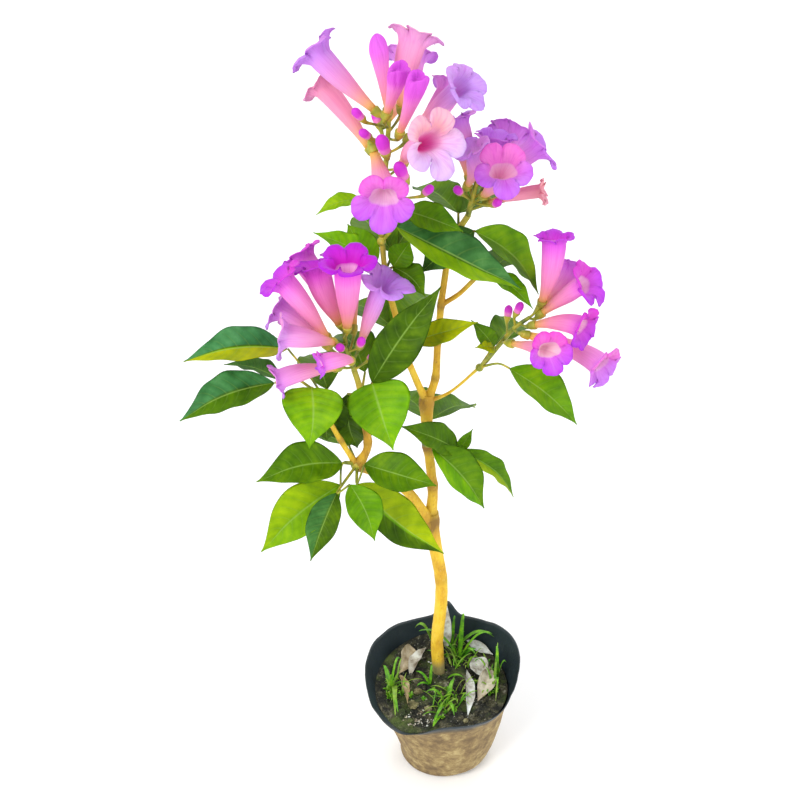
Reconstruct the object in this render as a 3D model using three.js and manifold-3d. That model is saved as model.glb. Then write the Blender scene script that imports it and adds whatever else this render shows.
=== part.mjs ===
// A potted garlic vine trained as a small standard, in millimetres, +Z up.
// A floppy nursery bag holds the soil. A bare woody stem forks twice and carries leafy shoots,
// whose leaves have two leaflets, and four heads of trumpet flowers.
// The origin is the middle of the bag's flat foot, and -Y is the side that the plant faces.
import * as THREE from "three";
import { mergeVertices } from "three/addons/utils/BufferGeometryUtils.js";
import Module from "manifold-3d";

const wasm = await Module();
wasm.setup();

// Driving dimensions
const GAP = 0.3;
const DETAIL = 0.12;
const BAG = { height: 117, foot: 43, heel: 49, waist: 60, neck: 69, mouth: 80, film: 1.2, sides: 26 };
const LEVELS = { heel: 9, waist: 50, neck: 86 };
// How far the soft bag sags to the right at each of its levels
const SAG = { heel: 6, waist: 5, neck: 1 };
const RIM = { tilt: 11, highTurn: 60, ripple: 6, crestTurn: 25, wander: 2.2, waver: 1.2 };
// Folds of the rim: the turn that each lies at, how wide it is, and how far it rises or dips
const RIM_FOLDS = [[85, 7, 22], [240, 20, -12]];
const SOIL = { level: 93, bank: 9, lumps: 1.6, clearance: 1.9, foot: 4, rings: [54, 36, 18] };
const BLADE = { thickness: 1.0, petiole: 1.1, taper: 1.15, fold: 0.16, rib: 1.3 };
// A full-grown bloom's radii, and the radius of face at which a bloom is full-grown
const TRUMPET = { neck: 3.6, belly: 9, throat: 12.2, wall: 0.9, notch: 0.7, grown: 23.4 };
const TALL_BUD = { neck: 2.8, waist: 5, belly: 8.4, shoulder: 7.6, tip: 2 };
const SMALL_BUD = { foot: 1.8, belly: 3.8, tip: 1.6 };
const LOBES = 5;
// The notch before a lobe and the two corners of its round end, in degrees from its middle
const NOTCH = -36;
const CORNER = 20;
const CALYX = { length: 8, foot: 2.0, cup: 4.3 };
const PEDICEL = { radius: 1.3, rise: 9 };
const GRASS = { foot: 1.3, middle: 1.5, tip: 0.5, bend: 5, start: 4 };
const GRASS_ROOT = { depth: 14, foot: 1.6, rise: 6, top: 2.2 };
// A loose piece is let down from this far above its place, and by no more than this
const DROP = { above: 14, most: 16, nearEnough: 0.05, look: 2 };

// Woody axes: the points that each runs through, and its radius at each of them
const WOOD = {
  trunk: [[-3, 22, 58, 7], [-3, 22, 96, 6.8], [-5, 20, 141, 6.5], [-2, 18, 190, 6.5], [-2, 18, 229, 6.4],
    [-9, 16, 278, 6.8], [-14, 14, 308, 8.2], [-14, 15, 322, 7.4]],
  left_limb: [[-14, 14, 308, 6], [-36, 0, 360, 5], [-58, -15, 391, 4.8], [-84, -30, 419, 5]],
  main_limb: [[-14, 15, 315, 6], [-12, 16, 350, 5], [-17, 18, 404, 4.8], [-19, 20, 450, 6.2],
    [-18, 20, 464, 5]],
  crown_shoot: [[-19, 20, 455, 3.4], [-29, 15, 484, 3.2], [-40, 10, 521, 3], [-48, 5, 563, 2.7],
    [-56, 0, 605, 2.6], [-60, -5, 652, 2.4]],
  high_shoot: [[-19, 20, 455, 4.2], [-11, 22, 480, 3.6], [-9, 24, 523, 3.2], [-5, 28, 575, 3],
    [2, 30, 622, 2.9], [16, 30, 652, 2.8]],
  side_shoot: [[-6, 27, 560, 2.2], [10, 27, 572, 2.2], [28, 26, 594, 2]],
  spray_shoot: [[-19, 20, 455, 1.6], [2, 20, 465, 1.4], [25, 20, 489, 1.4], [36, 18, 503, 2]],
  left_shoot: [[-84, -30, 417, 4.4], [-74, -30, 440, 3.6], [-77, -30, 473, 3.3], [-80, -30, 505, 2.9],
    [-85, -31, 528, 2.6]],
  low_shoot: [[-84, -30, 417, 2.6], [-99, -35, 452, 2.4], [-109, -40, 481, 2.2], [-113, -40, 506, 2.1]],
};

// Leaves: each node of the stem has a collar, and each leaf there a petiole and its leaflets.
// A leaflet is its foot, its tip, its width, the rise of its arch, how far it looks along X and Y,
// and where it is broadest if that isn't near its middle.
const LEAFY_NODES = {
  lower_leaves: { at: [-84, -30, 419], collar: 7.4, leaves: [
    { petiole: [[-97, -42, 430], [-99, -54, 414]], leaflets: [
      [[-97, -42, 430], [-175, -72, 432], 42, 9, 0, -0.6],
      [[-99, -54, 414], [-172, -102, 371], 46, 8, -0.3, -0.8]] },
    { petiole: [[-102, -60, 410], [-90, -62, 421]], leaflets: [
      [[-102, -60, 410], [-126, -98, 360], 27, 4, -0.5, -0.5],
      [[-90, -62, 421], [-67, -94, 380], 34, 4, 0.3, -0.9]] },
    { petiole: [[-84, -52, 413], [-77, -40, 427]], leaflets: [
      [[-84, -52, 413], [-2, -60, 334], 44, -5, 0.6, -0.9],
      [[-77, -40, 427], [-10, -56, 414], 38, 7, 0.2, -0.7]] },
    { petiole: [[-92, -8, 424]], leaflets: [
      [[-92, -8, 424], [-142, 46, 396], 38, 8, -0.3, 0.4],
      [[-92, -8, 424], [-66, 62, 398], 38, 8, 0.2, 0.5]] }] },
  trunk_leaves: { at: [-17, 18, 408], collar: 7.8, leaves: [
    { petiole: [[-20, 2, 418], [-14, -7, 421]], leaflets: [
      [[-14, -7, 421], [37, -20, 356], 42, 6, 0.7, -0.7]] },
    { petiole: [[-4, 11, 402], [12, 9, 405]], leaflets: [
      [[12, 9, 405], [-44, -8, 447], 30, 6, -0.2, -0.6],
      [[12, 9, 405], [67, 10, 345], 24, 12, 0.9, -0.5],
      [[12, 9, 405], [25, 12, 428], 12, 2, 0.2, -0.8]] },
    { petiole: [[-16, 44, 414]], leaflets: [
      [[-16, 44, 414], [-52, 116, 388], 40, 9, -0.2, 0.5],
      [[-16, 44, 414], [32, 104, 384], 40, 9, 0.3, 0.5]] }] },
  left_leaves: { at: [-112, -40, 502], collar: 4.8, leaves: [
    { petiole: [[-122, -57, 528]], leaflets: [
      [[-122, -57, 528], [-124, -94, 488], 54, 5, 0, -1.3, 0.26]] },
    { petiole: [[-124, -34, 522], [-144, -26, 548]], leaflets: [
      [[-144, -26, 548], [-236, -42, 545], 40, 10, -0.1, -0.3]] },
    { petiole: [[-136, -34, 520], [-156, -42, 522]], leaflets: [
      [[-156, -42, 522], [-240, -70, 500], 38, 8, -0.1, -0.5],
      [[-150, -37, 521], [-204, -14, 522], 26, 5, -0.2, 0.2]] },
    { petiole: [[-110, -22, 500]], leaflets: [
      [[-110, -22, 500], [-112, -26, 444], 40, 5, 0.2, -1],
      [[-110, -22, 500], [-130, 44, 492], 40, 8, -0.2, 0.4]] }] },
  middle_leaves: { at: [-79, -30, 500], collar: 5.6, leaves: [
    { petiole: [[-72, -38, 512], [-69, -42, 522]], leaflets: [
      [[-69, -42, 522], [-50, -80, 475], 58, 5, 0.15, -1, 0.26],
      [[-69, -42, 522], [-8, -22, 612], 40, 7, 0.5, -0.9]] },
    { petiole: [[-92, -18, 492]], leaflets: [
      [[-92, -18, 492], [-84, -12, 424], 38, 5, -0.2, -1]] },
    { petiole: [[-76, -6, 508]], leaflets: [
      [[-76, -6, 508], [-104, 66, 500], 40, 9, -0.2, 0.4]] }] },
  fork_leaves: { at: [-41, 9, 526], collar: 5.6, leaves: [
    { petiole: [[-34, -3, 540]], leaflets: [
      [[-34, -3, 540], [26, -6, 563], 24, 8, 0.2, -0.7]] },
    { petiole: [[-48, 26, 532]], leaflets: [
      [[-48, 26, 532], [-92, 88, 520], 40, 9, -0.3, 0.4],
      [[-48, 26, 532], [-14, 98, 524], 42, 10, 0.2, 0.5]] }] },
  crown_leaves: { at: [-57, -1, 614], collar: 5.2, leaves: [
    { petiole: [[-64, -6, 626]], leaflets: [
      [[-64, -6, 626], [-90, 16, 652], 30, 4, -0.5, -0.9],
      [[-64, -6, 626], [-120, 8, 648], 24, 5, -0.1, -0.3]] },
    { petiole: [[-50, -10, 624]], leaflets: [
      [[-50, -10, 624], [-35, 2, 643], 24, 4, 0.4, -0.9],
      [[-50, -10, 624], [-22, -30, 606], 26, 5, 0.4, -0.7]] },
    { petiole: [[-50, 16, 622]], leaflets: [
      [[-50, 16, 622], [-84, 82, 622], 40, 9, -0.3, 0.4],
      [[-50, 16, 622], [-18, 96, 616], 42, 10, 0.2, 0.4]] }] },
  crown_foot_leaves: { at: [-60, -5, 647], collar: 4.6, leaves: [
    { petiole: [[-66, 2, 668], [-76, 6, 682]], leaflets: [
      [[-76, 6, 682], [-116, -6, 674], 15, 8, 0, -0.5]] },
    { petiole: [[-50, -10, 662], [-40, -8, 680]], leaflets: [
      [[-40, -8, 680], [10, -22, 667], 27, 6, 0.2, -0.8],
      [[-48, -9.6, 665.6], [62, -28, 612], 44, 8, 0.4, -0.5]] }] },
  high_leaves: { at: [8, 30, 632], collar: 5.4, leaves: [
    { petiole: [[22, 24, 640]], leaflets: [
      [[22, 24, 640], [82, 28, 570], 44, 8, 0.8, -0.4],
      [[22, 24, 640], [-26, 14, 602], 36, 5, -0.4, -0.8]] },
    { petiole: [[8, 48, 644]], leaflets: [
      [[8, 48, 644], [-32, 112, 632], 40, 9, -0.2, 0.4],
      [[8, 48, 644], [58, 106, 622], 42, 9, 0.4, 0.4]] }] },
  side_leaves: { at: [27, 26, 593], collar: 4.6, leaves: [
    { petiole: [[36, 25, 595]], leaflets: [
      [[36, 25, 595], [74, -10, 580], 20, 4, 0.3, -0.5],
      [[36, 25, 595], [72, 68, 582], 30, 7, 0.2, 0.2]] }] },
  spray_leaves: { at: [30, 19, 495], collar: 4.6, leaves: [
    { petiole: [[46, 10, 506], [57, 8, 502]], leaflets: [
      [[57, 8, 502], [121, -10, 450], 40, 9, 0.6, -0.6]] },
    { petiole: [[38, 8, 516], [42, 6, 528]], leaflets: [
      [[42, 6, 528], [20, 2, 560], 18, 5, -0.4, -0.6],
      [[42, 6, 526], [24, -10, 538], 16, 4, -0.3, -0.9]] },
    { petiole: [[44, 34, 510]], leaflets: [
      [[44, 34, 510], [78, 92, 492], 36, 8, 0.3, 0.4]] }] },
};

// Flower heads: the green axis with its radii, the small buds on it, each its base, its tip and
// its radius where that is out of the usual, and the open or opening blooms.
// A bloom is its calyx tip, its throat, the heading and height in degrees that its face looks,
// the radius of its face, and how open it is, from 0 for a tall bud to 1.
const HEADS = {
  crown: {
    axis: [[-60, -5, 652.3, 2.4], [-58, -6, 700, 2.4], [-55, -8, 735, 2.3], [-53, -6, 768, 2]],
    buds: [[[-72, -18, 769], [-82, -24, 784]], [[-67, -24, 757], [-76, -33, 769]],
      [[-54, -31, 742], [-60, -40, 768], 5.6], [[-38, -30, 718], [-46, -42, 744], 5.4],
      [[-26, -14, 697], [-17, -20, 710]], [[-60, 14, 744], [-66, 26, 756]]],
    blooms: [
      [[-65, -8, 775], [-109, 12, 812], 150, 38, 27, 1],
      [[-70, 4, 733], [-107, 32, 773], 148, 32, 21, 0.9],
      [[-54, -2, 773], [-63, 6, 834], 134, 77, 9, 0],
      [[-55, -20, 778], [-44, -24, 820], -60, 72, 9, 0],
      [[-44, -26, 764], [-29, -42, 822], -58, 70, 9, 0],
      [[-43, 12, 768], [-35, 22, 818], 60, 52, 28, 0.9],
      [[-36, -8, 750], [5, -8, 794], -30, 42, 24, 1],
      [[-41, -18, 731], [-22, -62, 773], -52, 28, 31, 1],
      [[-66, -24, 746], [-57, -58, 722], -94, 4, 28, 1],
      [[-56, 16, 752], [-36, 64, 782], 84, 40, 25, 1],
      [[-38, 10, 722], [-4, 48, 760], 50, 36, 22, 1]],
  },
  high: {
    axis: [[16, 30, 652.3, 2.6], [20, 30, 672, 2.3], [24, 31, 690, 1.8]],
    buds: [[[36, 16, 670], [42, 7, 680]], [[10, 22, 678], [4, 12, 690]]],
    blooms: [
      [[29, 20, 678], [42, -18, 722], -84, 50, 28, 0.9],
      [[15, 28, 684], [18, 22, 718], 168, 68, 22, 0.8],
      [[26, 40, 684], [38, 48, 714], 60, 76, 24, 0.7],
      [[34, 32, 682], [70, 26, 719], 10, 34, 25, 1],
      [[34, 26, 668], [75, 6, 690], -10, 12, 16, 0.6],
      [[16, 40, 686], [6, 56, 726], 130, 56, 24, 0.8],
      [[30, 38, 672], [52, 78, 700], 62, 30, 26, 1]],
  },
  left: {
    axis: [[-85, -31, 528.3, 2.5], [-90, -33, 548, 2.2], [-93, -34, 566, 1.8]],
    buds: [[[-80, -42, 560], [-77, -49, 575]], [[-73, -34, 540], [-66, -38, 551]],
      [[-94, -50, 564], [-97, -60, 574]]],
    blooms: [
      [[-90, -42, 582], [-88, -60, 652], -80, 84, 36, 0.62],
      [[-97, -30, 578], [-114, -30, 629], 122, 66, 26, 0.9],
      [[-108, -42, 572], [-141, -52, 633], 164, 48, 25, 0.9],
      [[-96, -16, 568], [-128, 8, 618], 146, 44, 25, 1],
      [[-110, -28, 554], [-148, -18, 582], 166, 22, 22, 0.9],
      [[-103, -50, 572], [-138, -76, 596], 178, 4, 24, 0.9],
      [[-101, -44, 540], [-146, -68, 546], -168, -20, 22, 0.6],
      [[-87, -56, 556], [-109, -92, 580], -160, -2, 20, 0.35],
      [[-79, -30, 556], [-60, -40, 620], 0, 68, 28, 0.9],
      [[-86, -12, 562], [-92, 34, 600], 95, 40, 26, 1]],
  },
  right: {
    axis: [[36.2, 18, 503.3, 2], [58, 18, 537, 2.2], [74, 18, 552, 1.8]],
    buds: [[[54, 26, 541], [56, 33, 555]], [[60, 18, 552], [66, 18, 568]]],
    blooms: [
      [[84, 14, 572], [91, 6, 638], 90, 76, 21, 0.8],
      [[86, 26, 560], [110, 46, 580], 60, 36, 22, 0.9],
      [[85, 16, 558], [119, 13, 589], -20, 40, 24.5, 1],
      [[78, 6, 552], [116, -11, 562], -38, 0, 22.5, 0.9],
      [[58, 2, 534], [88, -33, 551], -76, 26, 21, 1],
      [[72, 4, 542], [136, -14, 523], -48, -10, 24, 0.9]],
  },
};

// Weeds: tufts of grass and a seedling, each a root and the tips of its blades
const WEEDS = {
  grass_tuft_back: { root: [20, 38], tips: [[54, 38, 133], [24, 50, 150], [-24, 40, 135], [36, 20, 120]] },
  grass_tuft_right: { root: [59, 8], tips: [[58, 22, 130], [58, -16, 108], [68, 8, 120]] },
  grass_tuft_left: { root: [-54, -8], tips: [[-44, -4, 138], [-46, -44, 100], [-62, 14, 110]] },
  grass_tuft_front: { root: [5, -24], tips: [[-9, -57, 98], [14, -6, 110], [-17, -26, 111],
    [12, -52, 104]] },
};

// Dead leaves lying on the soil: foot, tip, width, arch and way of looking, as for a leaflet
const LITTER = {
  dead_leaf_left: [[-34, 54, 108], [-45, 16, 101], 22, 5, 0.6, -0.6],
  dead_leaf_pale: [[-16, 48, 110], [-34, 10, 101], 13, 4, -0.6, -0.5],
  dead_leaf_right: [[52, 22, 105], [37, -24, 99], 19, 3, 0.1, -0.6],
  dead_leaf_curled: [[27, 18, 105], [26, -46, 99], 11, 5, 0.4, 0.1],
  dead_leaf_upright: [[6, 50, 98], [5, 57, 162], 14, 3, 0.4, -1.5],
};

const LITTER_THICKNESS = 1.2;

const vector = ([x, y, z]) => new THREE.Vector3(x, y, z);
const radians = THREE.MathUtils.degToRad;

// Triangles between two rings whose counts may differ, stepping on whichever ring lags
function strip(low, lowCount, high, highCount) {
  const faces = [];
  let i = 0;
  let j = 0;
  while (i < lowCount || j < highCount) {
    const onLow = (i + 0.5) / lowCount <= (j + 0.5) / highCount;
    const a = low + (i % lowCount);
    const b = high + (j % highCount);
    faces.push(a, onLow ? low + ((i + 1) % lowCount) : high + ((j + 1) % highCount), b);
    if (onLow) i++;
    else j++;
  }
  return faces;
}

// A closed skin through rings, ending in a fan to a point at each end
function loft(rings, footPoint, headPoint) {
  const total = (ring) => ring.reduce((sum, p) => sum.add(p), new THREE.Vector3());
  const middle = (ring) => total(ring).divideScalar(ring.length);
  const points = [footPoint ?? middle(rings[0]), headPoint ?? middle(rings.at(-1))];
  const starts = rings.map((ring) => points.push(...ring) - ring.length);
  const faces = [];
  for (let r = 0; r + 1 < rings.length; r++) {
    faces.push(...strip(starts[r], rings[r].length, starts[r + 1], rings[r + 1].length));
  }
  const fan = (point, start, count, flip) => {
    for (let i = 0; i < count; i++) {
      const next = start + ((i + 1) % count);
      faces.push(point, flip ? next : start + i, flip ? start + i : next);
    }
  };
  fan(0, starts[0], rings[0].length, true);
  fan(1, starts.at(-1), rings.at(-1).length, false);
  const skin = new THREE.BufferGeometry().setFromPoints(points);
  skin.setIndex(faces);
  return skin;
}

// The solid of a closed skin, turned the right way out
function solid(skin) {
  const merged = mergeVertices(skin, 1e-4);
  const build = (triVerts) => new wasm.Manifold(new wasm.Mesh({
    numProp: 3, vertProperties: merged.attributes.position.array, triVerts }));
  const made = build(new Uint32Array(merged.index.array));
  return made.volume() > 0 ? made : build(new Uint32Array(merged.index.array).reverse());
}

// The largest body of a solid, without the scraps that a cut leaves
function largest(shape) {
  return shape.simplify(DETAIL).decompose().sort((a, b) => b.volume() - a.volume())[0];
}

// One solid of many, without detail too fine to see
function fuse(shapes) {
  return shapes.reduce((all, shape) => all.add(shape)).simplify(DETAIL);
}

// A loose piece let down until it all but touches what lies below it
function letDown(shape, below) {
  const lowered = (drop) => shape.translate([0, 0, -drop]);
  let clear = -DROP.above;
  let touching = DROP.most;
  while (touching - clear > DROP.nearEnough) {
    const drop = (clear + touching) / 2;
    if (lowered(drop).minGap(below, DROP.look) > GAP) clear = drop;
    else touching = drop;
  }
  return lowered(clear);
}

function geometryOf(shape) {
  const mesh = shape.getMesh();
  const skin = new THREE.BufferGeometry();
  skin.setAttribute("position", new THREE.BufferAttribute(mesh.vertProperties, 3));
  skin.setIndex(new THREE.BufferAttribute(mesh.triVerts, 1));
  skin.computeVertexNormals();
  return skin;
}

// A round stem through points that each carry a radius
function stem(stops, sides, steps, extra = 0) {
  const line = new THREE.CatmullRomCurve3(stops.map(vector), false, "centripetal");
  const frames = line.computeFrenetFrames(steps, false);
  const rings = [];
  for (let s = 0; s <= steps; s++) {
    const along = (s / steps) * (stops.length - 1);
    const k = Math.min(Math.floor(along), stops.length - 2);
    const radius = THREE.MathUtils.lerp(stops[k][3], stops[k + 1][3], along - k) + extra;
    const centre = line.getPoint(s / steps);
    const ring = [];
    for (let i = 0; i < sides; i++) {
      const turn = (2 * Math.PI * i) / sides;
      ring.push(centre.clone().addScaledVector(frames.normals[s], radius * Math.cos(turn))
        .addScaledVector(frames.binormals[s], radius * Math.sin(turn)));
    }
    rings.push(ring);
  }
  return solid(loft(rings));
}

// A leaflet's width from 0 at its foot to 1 at its tip, as a share of its width where it is broadest
function leafProfile(t, broadest) {
  const power = (BLADE.taper * broadest) / (1 - broadest);
  return (t / broadest) ** power * ((1 - t) / (1 - broadest)) ** BLADE.taper;
}

// A leaflet folded a little along its midrib and arched from foot to tip
function leaflet([foot, tip, width, arch, lookX, lookY, broadest = 0.42], thickness = BLADE.thickness) {
  const start = vector(foot);
  const along = vector(tip).sub(start);
  const forward = along.clone().normalize();
  const up = new THREE.Vector3(lookX, lookY, 1);
  up.addScaledVector(forward, -up.dot(forward)).normalize();
  const side = forward.clone().cross(up);
  const rings = [0.02, 0.14, 0.34, 0.58, 0.81].map((t) => {
    const half = Math.max(BLADE.petiole, (width / 2) * leafProfile(t, broadest));
    const rise = arch * Math.sin(Math.PI * t);
    const middle = start.clone().addScaledVector(along, t).addScaledVector(up, rise);
    const lift = BLADE.fold * half;
    const edge = (sign, drop) => middle.clone().addScaledVector(side, sign * half)
      .addScaledVector(up, lift - drop);
    const rib = (drop) => middle.clone().addScaledVector(up, -drop);
    return [edge(-1, 0), rib(0), edge(1, 0),
      edge(1, thickness), rib(thickness * BLADE.rib), edge(-1, thickness)];
  });
  const tail = start.clone().addScaledVector(forward, -0.5).addScaledVector(up, -thickness / 2);
  return solid(loft(rings, tail, vector(tip)));
}

// One node of the stem: the ridge round it, and each leaf's petiole and leaflets
function leafyNode({ at, collar, leaves }) {
  const ridge = new THREE.SphereGeometry(collar, 6, 3).translate(...at);
  ridge.deleteAttribute("normal");
  ridge.deleteAttribute("uv");
  const shapes = [solid(ridge)];
  for (const leaf of leaves) {
    const stops = [at, ...leaf.petiole].map((p) => [...p, BLADE.petiole]);
    shapes.push(stem(stops, 3, stops.length - 1));
    leaf.leaflets.forEach((blade) => shapes.push(leaflet(blade)));
  }
  return fuse(shapes);
}

// Directions round a bloom: the way it looks, its upper side and its left side
function bloomFrame(heading, height) {
  const turn = radians(heading);
  const rise = radians(height);
  const level = new THREE.Vector3(Math.cos(turn), Math.sin(turn), 0);
  const face = level.clone().multiplyScalar(Math.cos(rise)).setZ(Math.sin(rise));
  const upper = level.clone().multiplyScalar(-Math.sin(rise)).setZ(Math.cos(rise));
  return { face, upper };
}

// The bloom's centre line bends from its calyx to the way its face looks
function bloomLine(calyx, throat, face) {
  const start = vector(calyx);
  const end = vector(throat);
  const bend = end.clone().addScaledVector(face, -0.4 * start.distanceTo(end));
  return new THREE.QuadraticBezierCurve3(start, bend, end);
}

// A five-sided ring across a bloom's tube
function tubeRing(centre, axis, upper, radius) {
  const top = upper.clone().addScaledVector(axis, -upper.dot(axis)).normalize();
  const left = axis.clone().cross(top);
  return Array.from({ length: LOBES }, (_, lobe) => {
    const turn = radians(lobeTurn(lobe, NOTCH));
    return centre.clone().addScaledVector(left, Math.cos(turn) * radius)
      .addScaledVector(top, Math.sin(turn) * radius);
  });
}

// A ring through the face: for each lobe the notch before it, and the two corners of its round end
function lobedRing(centre, face, upper, radius, forward, notch) {
  const left = face.clone().cross(upper);
  const corner = (lobe, off) => {
    const turn = radians(lobeTurn(lobe, off));
    const share = off === NOTCH ? notch : 1;
    return centre.clone().addScaledVector(left, Math.cos(turn) * radius * share)
      .addScaledVector(upper, Math.sin(turn) * radius * share).addScaledVector(face, forward * share);
  };
  const lobe = (_, k) => [NOTCH, -CORNER, CORNER].map((off) => corner(k, off));
  return Array.from({ length: LOBES }, lobe).flat();
}

const lobeTurn = (lobe, off) => -90 + (360 / LOBES) * lobe + off;

// A tall bud, still shut
function shutBud(line, upper, face) {
  const ring = (t, radius) => tubeRing(line.getPoint(t), line.getTangent(t), upper, radius);
  const tip = line.getPoint(1).addScaledVector(face, TALL_BUD.tip);
  const rings = [ring(GAP / line.getLength(), TALL_BUD.neck), ring(0.4, TALL_BUD.waist),
    ring(0.72, TALL_BUD.belly), ring(0.92, TALL_BUD.shoulder)];
  return loft(rings, undefined, tip);
}

// A trumpet bloom: a tube that widens to its throat, and a face of five rounded lobes
function bloom([calyx, throat, heading, height, radius, open]) {
  const { face, upper } = bloomFrame(heading, height);
  const line = bloomLine(calyx, throat, face);
  if (open === 0) return solid(shutBud(line, upper, face));
  const size = Math.min(1, radius / TRUMPET.grown);
  const mouth = TRUMPET.throat * size * (0.8 + 0.2 * open);
  const spread = radius - mouth;
  const end = line.getPoint(1);
  const tube = (t, r) => tubeRing(line.getPoint(t), line.getTangent(t), upper, r * size);
  const cup = 1.25 - open;
  const slope = new THREE.Vector2(open, 0.3 + 0.4 * cup).normalize().multiplyScalar(TRUMPET.wall);
  const flare = (share, notch, inner) => {
    const out = mouth + spread * open * share - inner * slope.y;
    const forward = spread * (0.3 + 0.3 * share + 0.3 * cup) + inner * slope.x;
    return lobedRing(end, face, upper, out, forward, notch);
  };
  const throatRing = (inset, forward) => lobedRing(end, face, upper, mouth - inset, forward, 0.92);
  const outside = [tube(GAP / line.getLength(), TRUMPET.neck), tube(0.5, TRUMPET.belly), throatRing(0, 0),
    flare(0.45, 0.9, 0), flare(1, TRUMPET.notch, 0)];
  const inside = [flare(1, TRUMPET.notch, 1), flare(0.45, 0.88, 1), throatRing(TRUMPET.wall, 0.4)];
  return solid(loft([...outside, ...inside], undefined, line.getPoint(0.6)));
}

// The point of an axis from which a pedicel rises to a foot
function axisPoint(axis, foot) {
  const line = new THREE.CatmullRomCurve3(axis.map(vector), false, "centripetal");
  const aim = foot.clone().add(new THREE.Vector3(0, 0, -PEDICEL.rise));
  return line.getPoints(24).reduce((best, p) => (p.distanceTo(aim) < best.distanceTo(aim) ? p : best));
}

// A pedicel that rises from the axis and goes on through the stops, each a point and its radius
function risingStem(axis, stops) {
  const foot = stops[0][0];
  const root = axisPoint(axis, foot);
  const all = [[root, PEDICEL.radius], ...stops];
  return stem(all.map(([p, radius]) => [...p.toArray(), radius]), 5, all.length - 1);
}

// A calyx is a small cup on the end of its pedicel
function calyxOf(axis, tip, towards) {
  const out = vector(tip);
  const back = out.clone().addScaledVector(towards, -CALYX.length);
  return risingStem(axis, [[back, CALYX.foot], [out, CALYX.cup]]);
}

// A small closed bud: its cup and its rounded petals in one
function smallBud(axis, [base, tip, belly = SMALL_BUD.belly]) {
  const at = (t) => vector(base).lerp(vector(tip), t);
  return risingStem(axis, [[at(0), SMALL_BUD.foot], [at(0.45), belly],
    [at(0.85), belly], [at(1), SMALL_BUD.tip]]);
}

// The green part of a flower head, in one piece
function headStalk({ axis, buds, blooms }) {
  const shapes = [stem(axis, 6, 3)];
  for (const [calyx, throat, heading, height] of blooms) {
    const { face } = bloomFrame(heading, height);
    shapes.push(calyxOf(axis, calyx, bloomLine(calyx, throat, face).getTangent(0)));
  }
  buds.forEach((bud) => shapes.push(smallBud(axis, bud)));
  return fuse(shapes);
}

// Height and reach of the bag's floppy rim at a turn round it
function rimHeight(turn) {
  const tilt = RIM.tilt * Math.cos(turn - radians(RIM.highTurn));
  const ripple = RIM.ripple * Math.cos(3 * (turn - radians(RIM.crestTurn)));
  return RIM_FOLDS.reduce((height, [middle, width, rise]) => {
    const off = (turn - radians(middle)) / radians(width);
    return height + rise * Math.exp(-(off ** 2));
  }, BAG.height + tilt + ripple);
}

const rimReach = (turn) => (
  BAG.mouth + RIM.wander * Math.sin(2 * turn + 0.8) + RIM.waver * Math.sin(5 * turn));

const turnsOf = (sides) => Array.from({ length: sides }, (_, i) => (2 * Math.PI * i) / sides);
const around = (turn, reach, z, sag = 0) => (
  new THREE.Vector3(Math.cos(turn) * reach + sag, Math.sin(turn) * reach, z));

// A level ring of the bag, or of what lies inside it
const levelRing = (radius, z, sag = 0) => turnsOf(BAG.sides).map((turn) => around(turn, radius, z, sag));

// The floppy rim, set in by some distance
const rimRing = (inset, drop) => turnsOf(BAG.sides).map((turn) => (
  around(turn, rimReach(turn) - inset, rimHeight(turn) - drop)));

// The bag: a thin film from the flat foot up to the flared mouth, and back down inside
function nurseryBag() {
  const t = BAG.film;
  const outside = [levelRing(BAG.foot, 0), levelRing(BAG.heel, LEVELS.heel, SAG.heel),
    levelRing(BAG.waist, LEVELS.waist, SAG.waist), levelRing(BAG.neck, LEVELS.neck, SAG.neck)];
  const inside = [levelRing(BAG.neck - t, LEVELS.neck, SAG.neck),
    levelRing(BAG.waist - t, LEVELS.waist, SAG.waist),
    levelRing(BAG.heel - t, LEVELS.heel + t / 2, SAG.heel), levelRing(BAG.foot - t, t * 1.5)];
  return loft([...outside, rimRing(0, 1), rimRing(t, 0), ...inside]);
}

// The lumpy soil lies banked up against the back of the bag
function soilHeight(x, y) {
  return SOIL.level + SOIL.bank * Math.max(0, y / BAG.neck) ** 2
    + SOIL.lumps * (Math.sin(x / 9 + 1) * Math.cos(y / 8) + 0.5 * Math.sin((x + y) / 5));
}

// A ring on the soil's surface
const soilRing = (radius) => turnsOf(BAG.sides).map((turn) => {
  const { x, y } = around(turn, radius, 0);
  return new THREE.Vector3(x, y, soilHeight(x, y));
});

// The edge of the soil lies against the flaring film, as far up it as the soil's level allows
const soilEdge = () => turnsOf(BAG.sides).map((turn) => {
  const out = rimReach(turn) - BAG.neck;
  const up = rimHeight(turn) - LEVELS.neck;
  const slope = Math.hypot(out, up);
  const clear = BAG.film + SOIL.clearance;
  const lift = (clear * out) / slope;
  const level = SOIL.level + SOIL.bank * Math.max(0, Math.sin(turn)) ** 2;
  const share = THREE.MathUtils.clamp((level - lift - LEVELS.neck) / up, 0, 0.8);
  const reach = BAG.neck + share * out - (clear * up) / slope;
  return around(turn, reach, LEVELS.neck + share * up + lift, SAG.neck * (1 - share));
});

function soilBody(holes) {
  const clear = BAG.film + SOIL.clearance;
  const side = [levelRing(BAG.foot - clear, SOIL.foot),
    levelRing(BAG.heel - clear, LEVELS.heel + BAG.film, SAG.heel),
    levelRing(BAG.waist - clear, LEVELS.waist, SAG.waist),
    levelRing(BAG.neck - clear, LEVELS.neck, SAG.neck)];
  const body = solid(loft([...side, soilEdge(), ...SOIL.rings.map(soilRing)]));
  return largest(holes.reduce((left, hole) => left.subtract(hole), body));
}

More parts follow.
